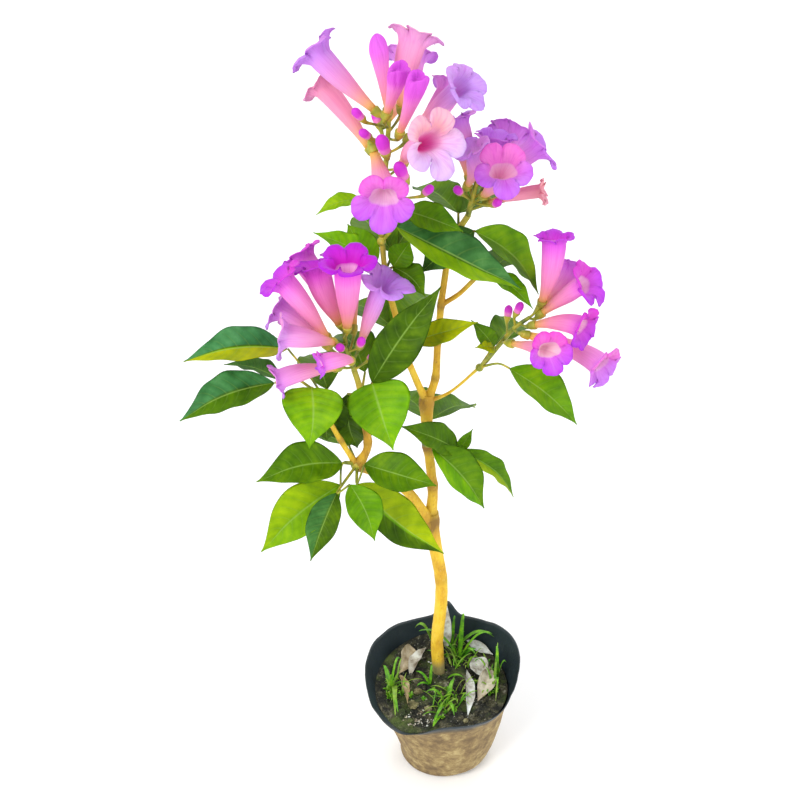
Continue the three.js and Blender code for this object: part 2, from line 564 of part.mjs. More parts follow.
// A blade of grass rises from the root, bends over and ends in a point
function grassBlade([x, y], tip) {
  const start = new THREE.Vector3(x, y, soilHeight(x, y) + GRASS.start);
  const end = vector(tip);
  const over = start.clone().lerp(end, 0.5);
  over.z = Math.max(start.z, end.z) + GRASS.bend;
  const stops = [[start, GRASS.foot], [over, GRASS.middle], [end, GRASS.tip]];
  return stem(stops.map(([p, radius]) => [...p.toArray(), radius]), 3, 3);
}

function grassRoot([x, y], extra = 0) {
  const level = soilHeight(x, y);
  return stem([[x, y, level - GRASS_ROOT.depth, GRASS_ROOT.foot],
    [x, y, level + GRASS_ROOT.rise, GRASS_ROOT.top]], 6, 1, extra);
}

function grassTuft({ root, tips }) {
  return fuse([grassRoot(root), ...tips.map((tip) => grassBlade(root, tip))]);
}

// Materials
const matte = (color, roughness) => new THREE.MeshStandardMaterial({ color, roughness, metalness: 0 });
const MATERIALS = {
  film: matte(0x1d2b33, 0.5),
  soil: matte(0x2f2a20, 1),
  bark: matte(0xd99a3c, 0.8),
  leaf: matte(0x3f8a1c, 0.4),
  stalk: matte(0x8a9a30, 0.6),
  petal: matte(0xd45ce0, 0.6),
  grass: matte(0x63b522, 0.5),
  litter: matte(0x9a9078, 0.9),
};

const plant = new THREE.Group();
plant.name = "potted_garlic_vine";

function place(name, shape, material) {
  const skin = shape.isBufferGeometry ? shape : geometryOf(shape);
  const mesh = new THREE.Mesh(skin, material);
  mesh.name = name;
  plant.add(mesh);
}

// Assembly. Green parts are cut clear of the wood that they grow on.
const wood = (extra) => fuse(Object.values(WOOD).map((stops) => {
  const sides = stops[0][3] > 4 ? 8 : 6;
  return stem(stops, sides, stops.length - 1, extra);
}));
const woodRoom = wood(GAP);
place("nursery_bag", nurseryBag(), MATERIALS.film);
const rootHoles = Object.values(WEEDS).map(({ root }) => grassRoot(root, GAP));
const soil = soilBody([stem(WOOD.trunk.slice(0, 3), 8, 2, GAP), ...rootHoles]);
place("soil", soil, MATERIALS.soil);
place("woody_stem", wood(0), MATERIALS.bark);
for (const [name, node] of Object.entries(LEAFY_NODES)) {
  place(name, largest(leafyNode(node).subtract(woodRoom)), MATERIALS.leaf);
}
for (const [head, parts] of Object.entries(HEADS)) {
  place(`${head}_head_stalk`, largest(headStalk(parts).subtract(woodRoom)), MATERIALS.stalk);
  parts.blooms.forEach((shape, i) => place(`${head}_bloom_${i + 1}`, bloom(shape), MATERIALS.petal));
}
let ground = soil.add(solid(nurseryBag()));
for (const [name, weed] of Object.entries(WEEDS)) {
  const tuft = grassTuft(weed);
  place(name, tuft, MATERIALS.grass);
  ground = ground.add(tuft);
}
for (const [name, blade] of Object.entries(LITTER)) {
  const lying = letDown(leaflet(blade, LITTER_THICKNESS), ground);
  place(name, lying, MATERIALS.litter);
  ground = ground.add(lying);
}

export default plant;
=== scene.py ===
# %% [markdown]
# # A potted garlic vine
#
# This lesson dresses a small flowering garlic vine in its nursery bag. The solids come from the CAD
# model, which holds every piece at its real size. Here each of them is built again with a smooth curved
# skin and a procedural finish, in the same place as the solid it stands for.
# All lengths in the lists are millimetres, and MM turns them into Blender's metres.

# %% Load the frame
import random
from math import cos, degrees, exp, hypot, pi, radians, sin, sqrt

import bmesh
import bpy
from mathutils import Matrix, Vector, noise


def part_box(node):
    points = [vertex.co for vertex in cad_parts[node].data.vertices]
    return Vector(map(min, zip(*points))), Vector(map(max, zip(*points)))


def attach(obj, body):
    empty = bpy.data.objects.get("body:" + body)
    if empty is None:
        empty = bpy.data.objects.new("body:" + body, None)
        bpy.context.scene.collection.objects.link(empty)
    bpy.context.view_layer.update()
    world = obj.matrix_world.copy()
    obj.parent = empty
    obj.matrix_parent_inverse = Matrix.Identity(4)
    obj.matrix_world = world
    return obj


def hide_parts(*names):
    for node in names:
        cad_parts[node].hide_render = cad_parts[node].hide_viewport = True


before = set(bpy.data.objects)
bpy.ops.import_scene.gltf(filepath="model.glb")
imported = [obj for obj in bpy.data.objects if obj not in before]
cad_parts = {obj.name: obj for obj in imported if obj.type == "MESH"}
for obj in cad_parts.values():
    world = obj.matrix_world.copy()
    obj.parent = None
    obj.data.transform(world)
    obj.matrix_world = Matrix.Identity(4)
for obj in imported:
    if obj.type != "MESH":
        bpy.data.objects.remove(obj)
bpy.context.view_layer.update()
scene = bpy.context.scene
MM = 0.001
print("solids:", len(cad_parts))

# %% [markdown]
# ## Camera
#
# The photograph was taken from a little above the crown, looking down on the soil. The camera's tilt
# shows in how round the bag's mouth looks, and its distance in how much smaller the bag looks than the
# flowers. A long lens from about a metre and a half away gives both.

# %% Camera
CAMERA_PLACE = (-0.044, -1.300, 1.444)
CAMERA_PITCH = 36.8
CAMERA_LENS = 78.6
SENSOR_WIDTH = 36.0

camera_data = bpy.data.cameras.new("camera")
camera_data.lens = CAMERA_LENS
camera_data.sensor_width = SENSOR_WIDTH
camera = bpy.data.objects.new("camera", camera_data)
camera.location = CAMERA_PLACE
camera.rotation_euler = (radians(90 - CAMERA_PITCH), 0, 0)
scene.collection.objects.link(camera)
scene.camera = camera
print("camera at", CAMERA_PLACE)

# %% [markdown]
# ## Floor and light
#
# The plant stands in bright, even daylight. A pale floor, a pale sky and three large soft lamps give
# that: the key lamp is high on the left, the fill lamp is lower on the right, and one lamp is behind.

# %% Floor and sky
FLOOR_SIZE = 6.0
FLOOR_GREY = 0.93, 0.93, 0.93, 1
SKY_COLOR, SKY_STRENGTH = (0.97, 0.98, 1.0, 1), 0.95

floor_mesh = bmesh.new()
bmesh.ops.create_grid(floor_mesh, x_segments=1, y_segments=1, size=FLOOR_SIZE)
floor_data = bpy.data.meshes.new("floor")
floor_mesh.to_mesh(floor_data)
floor_mesh.free()
floor = bpy.data.objects.new("floor", floor_data)
scene.collection.objects.link(floor)

floor_paint = bpy.data.materials.new("pale_floor")
floor_paint.use_nodes = True
floor_shader = floor_paint.node_tree.nodes["Principled BSDF"]
floor_shader.inputs["Base Color"].default_value = FLOOR_GREY
floor_shader.inputs["Roughness"].default_value = 0.9
floor_shader.inputs["Specular IOR Level"].default_value = 0.1
floor_data.materials.append(floor_paint)

sky = bpy.data.worlds.new("sky")
sky.use_nodes = True
sky.node_tree.nodes["Background"].inputs["Color"].default_value = SKY_COLOR
sky.node_tree.nodes["Background"].inputs["Strength"].default_value = SKY_STRENGTH
scene.world = sky
scene.view_settings.view_transform = "Standard"
print("floor and sky made")


# %% Lamps
def soft_lamp(name, place, target, size, watts, color):
    """A square lamp that shines from a place towards a target."""
    data = bpy.data.lights.new(name, "AREA")
    data.size = size
    data.energy = watts
    data.color = color
    lamp = bpy.data.objects.new(name, data)
    lamp.location = place
    lamp.rotation_euler = (Vector(target) - Vector(place)).to_track_quat("-Z", "Y").to_euler()
    scene.collection.objects.link(lamp)


MIDDLE = (0, 0, 0.45)
soft_lamp("key_lamp", (-1.6, -1.9, 2.4), MIDDLE, 1.2, 62, (1.0, 0.98, 0.94))
soft_lamp("fill_lamp", (2.2, -1.2, 1.2), MIDDLE, 1.6, 22, (0.95, 0.98, 1.0))
soft_lamp("back_lamp", (0.6, 2.2, 1.8), MIDDLE, 1.6, 22, (1.0, 1.0, 1.0))
print("lamps: 3")

# %% [markdown]
# ## Node recipes
#
# Every finish below is a small network of nodes. A few helpers keep those networks short. A Wire is the
# output of a node, and it can be added, taken away and multiplied like a number. The helpers work on
# tree, the node tree of the finish that is being made. Attributes follow the surface, so a vein or a
# streak stays where it grew.


# %% Node helpers
class Wire:
    """The output of a node, which can be used in sums like a number."""

    def __init__(self, socket):
        self.socket = socket

    def __add__(self, other):
        return maths("ADD", self, other)

    def __sub__(self, other):
        return maths("SUBTRACT", self, other)

    def __rsub__(self, other):
        return maths("SUBTRACT", other, self)

    def __mul__(self, other):
        return maths("MULTIPLY", self, other)


def feed(socket, value):
    """Gives a socket another node's output, a colour or a number."""
    if isinstance(value, Wire):
        tree.links.new(value.socket, socket)
    elif socket.type == "RGBA":
        socket.default_value = (*value, 1)
    else:
        socket.default_value = value


def add_node(kind, inputs=None, **settings):
    """A node of a kind, with its settings and some of its sockets given."""
    node = tree.nodes.new(f"ShaderNode{kind}")
    for key, value in settings.items():
        setattr(node, key, value)
    for key, value in (inputs or {}).items():
        feed(node.inputs[key], value)
    return node


def ramp(factor, stops):
    """A colour ramp with stops given as a position and a colour, or a position and a grey."""
    node = add_node("ValToRGB", {"Fac": factor})
    elements = node.color_ramp.elements
    while len(elements) < len(stops):
        elements.new(0.5)
    for element, (position, color) in zip(elements, stops):
        element.position = position
        element.color = (*color, 1) if isinstance(color, tuple) else (color, color, color, 1)
    return Wire(node.outputs["Color"])


def attribute(name, output="Fac"):
    """What the mesh carries under a name."""
    return Wire(add_node("Attribute", attribute_name=name).outputs[output])


# The mix node has a set of sockets for each kind of value, and these are the ones for colours
MIX_FACTOR, MIX_A, MIX_B, MIX_RESULT = 0, 6, 7, 2


def blend(factor, a, b, blend_type="MIX"):
    """Two colours mixed by a factor."""
    sockets = {MIX_FACTOR: factor, MIX_A: a, MIX_B: b}
    node = add_node("Mix", sockets, data_type="RGBA", blend_type=blend_type)
    return Wire(node.outputs[MIX_RESULT])


def maths(operation, *values):
    """One sum, product or other operation on numbers."""
    return Wire(add_node("Math", dict(enumerate(values)), operation=operation).outputs["Value"])


def clamp(number):
    """The result of an operation, kept from 0 to 1."""
    number.socket.node.use_clamp = True
    return number


def above(number, floor, gain):
    """How far a number lies above a floor, times a gain, and at most 1."""
    return clamp(clamp(number - floor) * gain)


def noise_at(vector, scale, detail, roughness=0.55):
    """Noise on a vector, as a number around a half."""
    sockets = {"Vector": vector, "Scale": scale, "Detail": detail, "Roughness": roughness}
    return Wire(add_node("TexNoise", sockets).outputs["Fac"])


def surface_place():
    """The surface's own place, in metres."""
    return Wire(add_node("TexCoord").outputs["Object"])


def new_finish(name):
    """A material with its tree and its main shader."""
    material = bpy.data.materials.new(name)
    material.use_nodes = True
    return material, material.node_tree, material.node_tree.nodes["Principled BSDF"]


def dress(shader, color, roughness, relief=None, strength=0.0, depth=0.0):
    """Gives a shader its colour and roughness, and bumps from a relief."""
    feed(shader.inputs["Base Color"], color)
    feed(shader.inputs["Roughness"], roughness)
    if relief:
        bump = add_node("Bump", {"Height": relief, "Strength": strength, "Distance": depth})
        feed(shader.inputs["Normal"], Wire(bump.outputs["Normal"]))


def let_light_through(shader, color, share):
    """Mixes in light that passes through a thin leaf or petal from behind."""
    through = add_node("BsdfTranslucent", {"Color": color})
    mixed = add_node("MixShader", {
        "Fac": share, 1: Wire(shader.outputs["BSDF"]), 2: Wire(through.outputs["BSDF"])})
    feed(tree.nodes["Material Output"].inputs["Surface"], Wire(mixed.outputs["Shader"]))


print("node helpers ready")

# %% [markdown]
# ## Petal finish
#
# A garlic vine's flower opens deep magenta, turns to pink and violet, and fades to lavender and nearly
# white. Its tube is peach at its foot and pink above, and its two upper lobes stay pinker than the three
# lower ones. The mesh carries attributes for this. reach runs from 0 at the tube's foot to 1 at the throat
# and 2 at the petals' edge, inner is 1 inside, lip is 1 on the upper side and 0 on the lower, and age runs
# from below 0 on the deepest flower to 1 on the palest. cast tints one flower: above 0 it leans to
# lavender, and below 0 to salmon.

# %% Petal finish
petal_finish, tree, shader = new_finish("petal_finish")
reach = attribute("reach") * 0.5
age = attribute("age")
lip = attribute("lip")
cast = attribute("cast")
grain = attribute("grain", "Vector")
streak = noise_at(grain, 1.6, 4.0)
cloud = noise_at(grain, 0.35, 2.0)
outside_deep = ramp(reach, [
    (0.0, (0.92, 0.62, 0.12)), (0.06, (0.95, 0.46, 0.34)), (0.16, (0.95, 0.36, 0.58)),
    (0.38, (0.94, 0.30, 0.74)), (0.50, (0.82, 0.09, 0.76)), (1.0, (0.56, 0.018, 0.66))])
outside_fresh = ramp(reach, [
    (0.0, (0.94, 0.68, 0.10)), (0.06, (0.96, 0.54, 0.32)), (0.16, (0.95, 0.43, 0.58)),
    (0.42, (0.95, 0.36, 0.78)), (0.58, (0.84, 0.22, 0.84)), (1.0, (0.66, 0.13, 0.82))])
outside_old = ramp(reach, [
    (0.0, (0.94, 0.70, 0.14)), (0.07, (0.96, 0.58, 0.38)), (0.22, (0.95, 0.44, 0.60)),
    (0.45, (0.92, 0.46, 0.72)), (0.6, (0.84, 0.50, 0.84)), (1.0, (0.76, 0.52, 0.88))])
inside_deep = ramp(reach, [
    (0.34, (0.92, 0.50, 0.72)), (0.44, (0.97, 0.62, 0.84)), (0.49, (0.97, 0.66, 0.90)),
    (0.54, (0.74, 0.02, 0.66)), (1.0, (0.54, 0.02, 0.76))])
# In upper_fresh and lower_fresh the deep cup of the throat, from reach 0.33 to 0.5, is partly its own pale
# cream and partly painted light, made paler still to lift the shade in the narrow cup
upper_fresh = ramp(reach, [
    (0.33, (0.99, 0.84, 0.82)), (0.44, (0.99, 0.83, 0.80)), (0.50, (0.98, 0.75, 0.82)),
    (0.54, (0.92, 0.20, 0.72)), (1.0, (0.88, 0.06, 0.66))])
lower_fresh = ramp(reach, [
    (0.33, (0.99, 0.84, 0.84)), (0.44, (0.99, 0.86, 0.82)), (0.51, (0.98, 0.80, 0.84)),
    (0.56, (0.76, 0.18, 0.86)), (1.0, (0.54, 0.05, 0.84))])
upper_old = ramp(reach, [
    (0.33, (0.82, 0.10, 0.46)), (0.42, (0.90, 0.22, 0.58)), (0.52, (0.95, 0.50, 0.66)),
    (0.68, (0.95, 0.52, 0.52)), (1.0, (0.94, 0.56, 0.66))])
lower_old = ramp(reach, [
    (0.33, (0.82, 0.10, 0.50)), (0.42, (0.90, 0.26, 0.66)), (0.54, (0.92, 0.64, 0.86)),
    (0.68, (0.84, 0.62, 0.90)), (1.0, (0.76, 0.56, 0.90))])
old_share = clamp(age + (cloud - 0.5) * 0.5)
deep_share = clamp(age * -1.7)
inside = blend(old_share, blend(lip, lower_fresh, upper_fresh), blend(lip, lower_old, upper_old))
inside = blend(deep_share, inside, inside_deep)
outside = blend(deep_share, blend(old_share, outside_fresh, outside_old), outside_deep)
petal_color = blend(attribute("inner"), outside, inside)
cast_reach = ramp(reach, [(0.05, 0.0), (0.28, 0.35), (0.5, 0.85)])
lavender = blend(old_share, (0.64, 0.14, 0.84), (0.62, 0.42, 0.90))
petal_color = blend(clamp(cast * 1.0) * cast_reach, petal_color, lavender)
petal_color = blend(clamp(cast * -1.0) * cast_reach, petal_color, (0.94, 0.44, 0.44))
streaked = blend(1.0, petal_color, (0.84, 0.56, 0.84), "MULTIPLY")
petal_color = blend(above(streak, 0.46, 2.4), petal_color, streaked)
dress(shader, petal_color, 0.55, streak, 0.5, 0.0008)
shader.inputs["Specular IOR Level"].default_value = 0.22
shader.inputs["Sheen Weight"].default_value = 0.12
shader.inputs["Sheen Roughness"].default_value = 0.4
let_light_through(shader, petal_color, 0.36)
print("petal finish made")

# %% [markdown]
# ## Leaf finish
#
# The leaflets are dark above, with a pale midrib and curved side veins, and light yellowish green below.
# The mesh gives each leaflet its own UV map, across and along, and two attributes: under is 1 below, and
# young is the leaflet's colour. It runs from -1, a bluish green that is a painted sheen of sky light, over
# 0, dark green, and 0.5, bright green, to 1, yellow. Side veins are stripes of along less a curve of
# across, so that they lean towards the tip as the real ones do.

# %% Leaf finish
VEIN_PAIRS, VEIN_LEAN, VEIN_BEND = 8.5, 0.16, 1.4

leaf_finish, tree, shader = new_finish("leaf_finish")
leaf_map = Wire(add_node("UVMap", uv_map="UVMap").outputs["UV"])
split_map = add_node("SeparateXYZ", {"Vector": leaf_map})
across = maths("ABSOLUTE", Wire(split_map.outputs["X"]) - 0.5) * 2.0
along = Wire(split_map.outputs["Y"])
vein_wave = maths("PINGPONG", (along - maths("POWER", across, VEIN_BEND) * VEIN_LEAN) * VEIN_PAIRS, 0.5)
side_veins = clamp(1.0 - vein_wave * 11.0) * clamp(1.1 - across)
between_veins = clamp(vein_wave * 2.0)
midrib = clamp(1.0 - across * 17.0)
veins = clamp(maths("MAXIMUM", side_veins * 0.3, midrib))
young = attribute("young")
mottle = noise_at(surface_place(), 45.0, 5.0, 0.6)
shade = mottle + (between_veins - 0.5) * 0.10
dark_top = ramp(shade, [
    (0.28, (0.022, 0.060, 0.001)), (0.52, (0.060, 0.138, 0.002)), (0.76, (0.14, 0.26, 0.004))])
# Painted sheen of sky light: the bluish green given to leaflets whose young value is below 0
sky_sheen_top = ramp(shade, [
    (0.28, (0.016, 0.12, 0.035)), (0.52, (0.045, 0.24, 0.085)), (0.76, (0.10, 0.38, 0.16))])
bright_top = ramp(shade, [
    (0.28, (0.085, 0.27, 0.002)), (0.52, (0.175, 0.43, 0.003)), (0.76, (0.30, 0.56, 0.006))])
yellow_top = ramp(shade, [(0.28, (0.26, 0.34, 0.002)), (0.76, (0.58, 0.61, 0.004))])
below = ramp(mottle, [(0.3, (0.17, 0.29, 0.012)), (0.8, (0.30, 0.43, 0.025))])
dark_top = blend(clamp(young * -1.0), dark_top, sky_sheen_top)
# Where a leaflet's halves carry different young values, this paints one half lit and the other shaded
leaf_color = blend(clamp(young * 2.0), dark_top, bright_top)
leaf_color = blend(clamp(young * 2.0 - 1.0), leaf_color, yellow_top)
leaf_color = blend(veins * 0.65, leaf_color, (0.34, 0.56, 0.10))
leaf_color = blend(attribute("under"), leaf_color, below)
leaf_gloss = ramp(mottle, [(0.3, 0.38), (0.8, 0.56)])
relief = veins * -0.8 + mottle * 0.25 + between_veins * 0.35
dress(shader, leaf_color, leaf_gloss, relief, 0.6, 0.0008)
shader.inputs["Specular IOR Level"].default_value = 0.10
let_light_through(shader, blend(0.5, leaf_color, (0.40, 0.62, 0.01)), 0.22)
print("leaf finish made")

# %% [markdown]
# ## Bark, stalk, film, soil, grass and litter finishes
#
# The young wood is bright ochre with pale pores, brown flecks and brown knots. The green stalks turn
# yellow towards the flowers. The bag is black film inside and pale dried mud outside, so its colour
# follows a mud attribute. The soil is dark, moist and specked, with patches of moss and paler, earthy
# clods. Grass is bright green, and some of its blades are yellower. Dead leaves are grey and tan.

# %% Bark finish
bark_finish, tree, shader = new_finish("bark_finish")
here = surface_place()
drawn_up = add_node("Mapping", {"Vector": here, "Scale": (1.0, 1.0, 0.35)})
stretched = Wire(drawn_up.outputs["Vector"])
patches = noise_at(stretched, 60.0, 5.0, 0.65)
cells = add_node("TexVoronoi", {"Vector": stretched, "Scale": 420.0, "Randomness": 1.0})
pore = clamp(1.0 - Wire(cells.outputs["Distance"]) * 3.4)
fleck = noise_at(here, 330.0, 3.0, 0.6)
bark_color = ramp(patches, [
    (0.28, (0.30, 0.15, 0.010)), (0.42, (0.62, 0.34, 0.014)), (0.56, (0.78, 0.51, 0.026)),
    (0.80, (0.84, 0.64, 0.12))])
bark_color = blend(above(fleck, 0.60, 6.0) * 0.75, bark_color, (0.34, 0.14, 0.015))
knotty = clamp(attribute("knot") * (above(patches, 0.38, 6.0) + 0.25))
bark_color = blend(knotty * 0.85, bark_color, (0.16, 0.065, 0.012))
bark_color = blend(attribute("soiled"), bark_color, (0.20, 0.19, 0.10))
bark_color = blend(attribute("fresh") * 0.8, bark_color, (0.34, 0.36, 0.05))
bark_color = blend(pore * 0.25, bark_color, (0.92, 0.70, 0.30))
dress(shader, bark_color, 0.72, pore * 0.5 + patches, 0.6, 0.0012)

# %% Stalk finish
stalk_finish, tree, shader = new_finish("stalk_finish")
blotch = noise_at(surface_place(), 110.0, 4.0)
stalk_color = ramp(blotch, [
    (0.30, (0.07, 0.11, 0.008)), (0.5, (0.26, 0.29, 0.018)), (0.70, (0.60, 0.44, 0.04))])
stalk_color = blend(attribute("cup") * 0.7, stalk_color, (0.42, 0.38, 0.03))
dress(shader, stalk_color, 0.5, blotch, 0.3, 0.0006)

# %% Bag film finish
film_finish, tree, shader = new_finish("film_finish")
here = surface_place()
cloud = noise_at(here, 28.0, 6.0, 0.62)
speck = noise_at(here, 260.0, 4.0, 0.7)
caked = noise_at(here, 120.0, 6.0, 0.68)
stain = cloud * 0.35 + caked * 0.65
mud_color = ramp(stain, [
    (0.38, (0.13, 0.086, 0.036)), (0.46, (0.22, 0.148, 0.06)), (0.54, (0.32, 0.23, 0.09)),
    (0.64, (0.52, 0.41, 0.18))])
mud_color = blend(speck * 0.35, mud_color, (0.20, 0.12, 0.055))
mud_share = clamp(attribute("mud") * above(cloud, 0.20, 8.0))
film_color = blend(cloud * 0.5, (0.012, 0.020, 0.026), (0.035, 0.055, 0.065))
film_gloss = ramp(mud_share, [(0.0, 0.38), (0.6, 0.85)])
dress(shader, blend(mud_share, film_color, mud_color), film_gloss, cloud + speck * 0.4, 0.55, 0.0015)

# %% Soil finish
soil_finish, tree, shader = new_finish("soil_finish")
here = surface_place()
clod = noise_at(here, 90.0, 8.0, 0.72)
grit = noise_at(here, 420.0, 5.0, 0.7)
moss = noise_at(here, 38.0, 5.0, 0.6)
soil_color = ramp(clod, [
    (0.38, (0.004, 0.005, 0.004)), (0.50, (0.018, 0.019, 0.011)), (0.60, (0.085, 0.078, 0.040)),
    (0.72, (0.36, 0.35, 0.28))])
soil_color = blend(above(grit, 0.60, 9.0), soil_color, (0.42, 0.41, 0.35))
moss_color = blend(clod, (0.015, 0.04, 0.006), (0.14, 0.20, 0.03))
soil_color = blend(above(moss, 0.50, 6.0) * 0.8, soil_color, moss_color)
earthy = ramp(clod, [
    (0.36, (0.035, 0.035, 0.012)), (0.50, (0.17, 0.15, 0.06)), (0.64, (0.42, 0.39, 0.22))])
soil_color = blend(attribute("young"), soil_color, earthy)
dress(shader, soil_color, 0.9, clod + grit * 0.5, 0.9, 0.003)

# %% Grass finish
grass_finish, tree, shader = new_finish("grass_finish")
lines = noise_at(surface_place(), 160.0, 3.0)
grass_color = ramp(lines, [
    (0.32, (0.03, 0.21, 0.012)), (0.50, (0.11, 0.44, 0.006)), (0.72, (0.32, 0.68, 0.010))])
grass_color = blend(attribute("young"), grass_color, (0.52, 0.56, 0.10))
dress(shader, grass_color, 0.45)
let_light_through(shader, grass_color, 0.3)

# %% Litter finish
litter_finish, tree, shader = new_finish("litter_finish")
stain = noise_at(surface_place(), 70.0, 7.0, 0.65)
litter_pale = ramp(stain, [
    (0.34, (0.16, 0.13, 0.09)), (0.46, (0.44, 0.43, 0.38)), (0.58, (0.66, 0.69, 0.66)),
    (0.74, (0.82, 0.86, 0.86))])
litter_tan = ramp(stain, [
    (0.32, (0.13, 0.08, 0.035)), (0.48, (0.38, 0.28, 0.14)), (0.70, (0.64, 0.55, 0.36))])
dress(shader, blend(attribute("young"), litter_pale, litter_tan), 0.85, stain, 0.7, 0.0018)
print("finishes:", len(bpy.data.materials))

# %% [markdown]
# ## Skins that wrap round
#
# Stems, leaflets, petals and grass blades are all made one way: a flat grid is wrapped round and each
# of its points is placed by a formula. One side of the grid runs around the piece, and the other runs
# along it. The seam is merged and both ends are filled, so each skin is closed.


# %% Wrapped skins
EDGE, MERGE_REACH = 1e-6, 1e-7


def unit(number):
    """A number kept from 0 to 1."""
    return max(0.0, min(1.0, number))


def ring_point(turn, reach_out, height=0.0):
    """A point at a turn and a reach round the upright axis."""
    return Vector((cos(turn) * reach_out, sin(turn) * reach_out, height))


def faces_of(verts):
    """All the faces that some points belong to."""
    return {face for vert in verts for face in vert.link_faces}


def wrapped_skin(mesh, around_count, along_count, place, finish=0, uv_of=None, values=None):
    """Adds a closed skin to the mesh. place(around, along) gives each point, both from 0 to 1.

    uv_of gives a point's texture place. values holds its attributes by name, each a number or a formula
    of around and along.
    """
    uv_layer = mesh.loops.layers.uv.get("UVMap") or mesh.loops.layers.uv.new("UVMap")
    values = values or {}
    layers = {}
    for name in values:
        kind = mesh.verts.layers.float_vector if name == "grain" else mesh.verts.layers.float
        kind.get(name) or kind.new(name)
        layers[name] = kind.get(name)
    grid = bmesh.ops.create_grid(
        mesh, x_segments=around_count, y_segments=along_count, size=0.5, calc_uvs=True)
    shares = {vert: (vert.co.x + 0.5, vert.co.y + 0.5) for vert in grid["verts"]}
    for face in faces_of(shares):
        face.material_index = finish
        face.smooth = True
        middle = sum(shares[loop.vert][0] for loop in face.loops) / len(face.loops)
        for loop in face.loops:
            around, along = shares[loop.vert]
            loop[uv_layer].uv = uv_of(around, along, middle) if uv_of else (around, along)
    for vert, (around, along) in shares.items():
        vert.co = place(0.0 if around > 1 - EDGE else around, along)
        for name, value in values.items():
            vert[layers[name]] = value(around, along) if callable(value) else value
    seam = [vert for vert, (around, _) in shares.items() if min(around, 1 - around) < EDGE]
    ends = [vert for vert, (_, along) in shares.items() if min(along, 1 - along) < EDGE]
    bmesh.ops.remove_doubles(mesh, verts=seam, dist=MERGE_REACH)
    rims = {edge for vert in ends if vert.is_valid for edge in vert.link_edges if edge.is_boundary}
    for face in bmesh.ops.holes_fill(mesh, edges=list(rims), sides=0)["faces"]:
        face.material_index = finish


def finished_piece(node_name, mesh, finishes, name=None):
    """Turns a bmesh into a piece of the plant that stands for a solid."""
    name = name or f"{node_name}_skin"
    bmesh.ops.recalc_face_normals(mesh, faces=mesh.faces)
    data = bpy.data.meshes.new(name)
    mesh.to_mesh(data)
    mesh.free()
    for finish in finishes:
        data.materials.append(finish)
    piece = bpy.data.objects.new(name, data)
    scene.collection.objects.link(piece)
    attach(piece, "root")
    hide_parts(node_name)
    return piece


def smooth_line(stops, share):
    """The point and radius on a smooth curve through stops, at a share of the way."""
    place = share * (len(stops) - 1)
    k = min(int(place), len(stops) - 2)
    t = place - k
    near = [stops[min(max(k + step, 0), len(stops) - 1)] for step in (-1, 0, 1, 2)]

    def mixed(i):
        a, b, c, d = (stop[i] for stop in near)
        square = 2 * a - 5 * b + 4 * c - d
        cube = 3 * b - a - 3 * c + d
        return 0.5 * (2 * b + (c - a) * t + square * t ** 2 + cube * t ** 3)

    return Vector((mixed(0), mixed(1), mixed(2))), mixed(3)


def line_frames(stops, count):
    """Points, radii and turning-free side directions along a smooth curve."""
    points = [smooth_line(stops, i / count) for i in range(count + 1)]
    frames = []
    side = None
    for i, (point, radius) in enumerate(points):
        ahead = points[min(i + 1, count)][0] - points[max(i - 1, 0)][0]
        axis = ahead.normalized()
        side = axis.orthogonal() if side is None else side
        side = (side - axis * side.dot(axis)).normalized()
        frames.append((point, radius, side, axis.cross(side)))
    return frames


def tube(mesh, stops, around_count, along_count, finish=0, swell=None, values=None):
    """A round skin along stops in millimetres, each with its radius. swell adds to the radius."""
    frames = line_frames(stops, along_count)

    def place(around, along):
        point, radius, side, other = frames[round(along * along_count)]
        turn = 2 * pi * around
        radius += swell(point, around, along) if swell else 0
        return (point + side * (radius * cos(turn)) + other * (radius * sin(turn))) * MM

    wrapped_skin(mesh, around_count, along_count, place, finish, values=values)


print("skin helpers ready")

# %% [markdown]
# ## Woody stem
#
# The trunk is as thick as a finger and bends gently. It forks into a left limb and a main limb, and both
# fork again into thin shoots. Each axis is a tube along a smooth line through points with a radius. It
# swells at every fork and knot, and it is slightly uneven, so no silhouette is ruler-straight.

# %% Woody stem
WOOD = {
    "trunk": [(-3, 22, 58, 7), (-3, 22, 96, 6.8), (-5, 20, 141, 6.5), (-2, 18, 190, 6.5),
              (-2, 18, 229, 6.4), (-9, 16, 278, 6.8), (-14, 14, 308, 8.2), (-14, 15, 322, 7.4)],
    "left_limb": [(-14, 14, 308, 6), (-36, 0, 360, 5), (-58, -15, 391, 4.8), (-84, -30, 419, 5)],
    "main_limb": [(-14, 15, 315, 6), (-12, 16, 350, 5), (-17, 18, 404, 4.8), (-19, 20, 450, 6.2),
                  (-18, 20, 464, 5)],
    "crown_shoot": [(-19, 20, 455, 3.4), (-29, 15, 484, 3.2), (-40, 10, 521, 3), (-48, 5, 563, 2.7),
                    (-56, 0, 605, 2.6), (-60, -5, 652, 2.4)],
    "high_shoot": [(-19, 20, 455, 4.2), (-11, 22, 480, 3.6), (-9, 24, 523, 3.2), (-5, 28, 575, 3),
                   (2, 30, 622, 2.9), (16, 30, 652, 2.8)],
    "side_shoot": [(-6, 27, 560, 2.2), (10, 27, 572, 2.2), (28, 26, 594, 2)],
    "spray_shoot": [(-19, 20, 455, 1.6), (2, 20, 465, 1.4), (25, 20, 489, 1.4), (36, 18, 503, 2)],
    "left_shoot": [(-84, -30, 417, 4.4), (-74, -30, 440, 3.6), (-77, -30, 473, 3.3), (-80, -30, 505, 2.9),
                   (-85, -31, 528, 2.6)],
    "low_shoot": [(-84, -30, 417, 2.6), (-99, -35, 452, 2.4), (-109, -40, 481, 2.2), (-113, -40, 506, 2.1)],
}
OLD_WOOD = "trunk", "left_limb", "main_limb"
SOILED_BELOW, MOST_SOILED = 116, 0.85
BARK_STEP, THICK = 3.0, 4
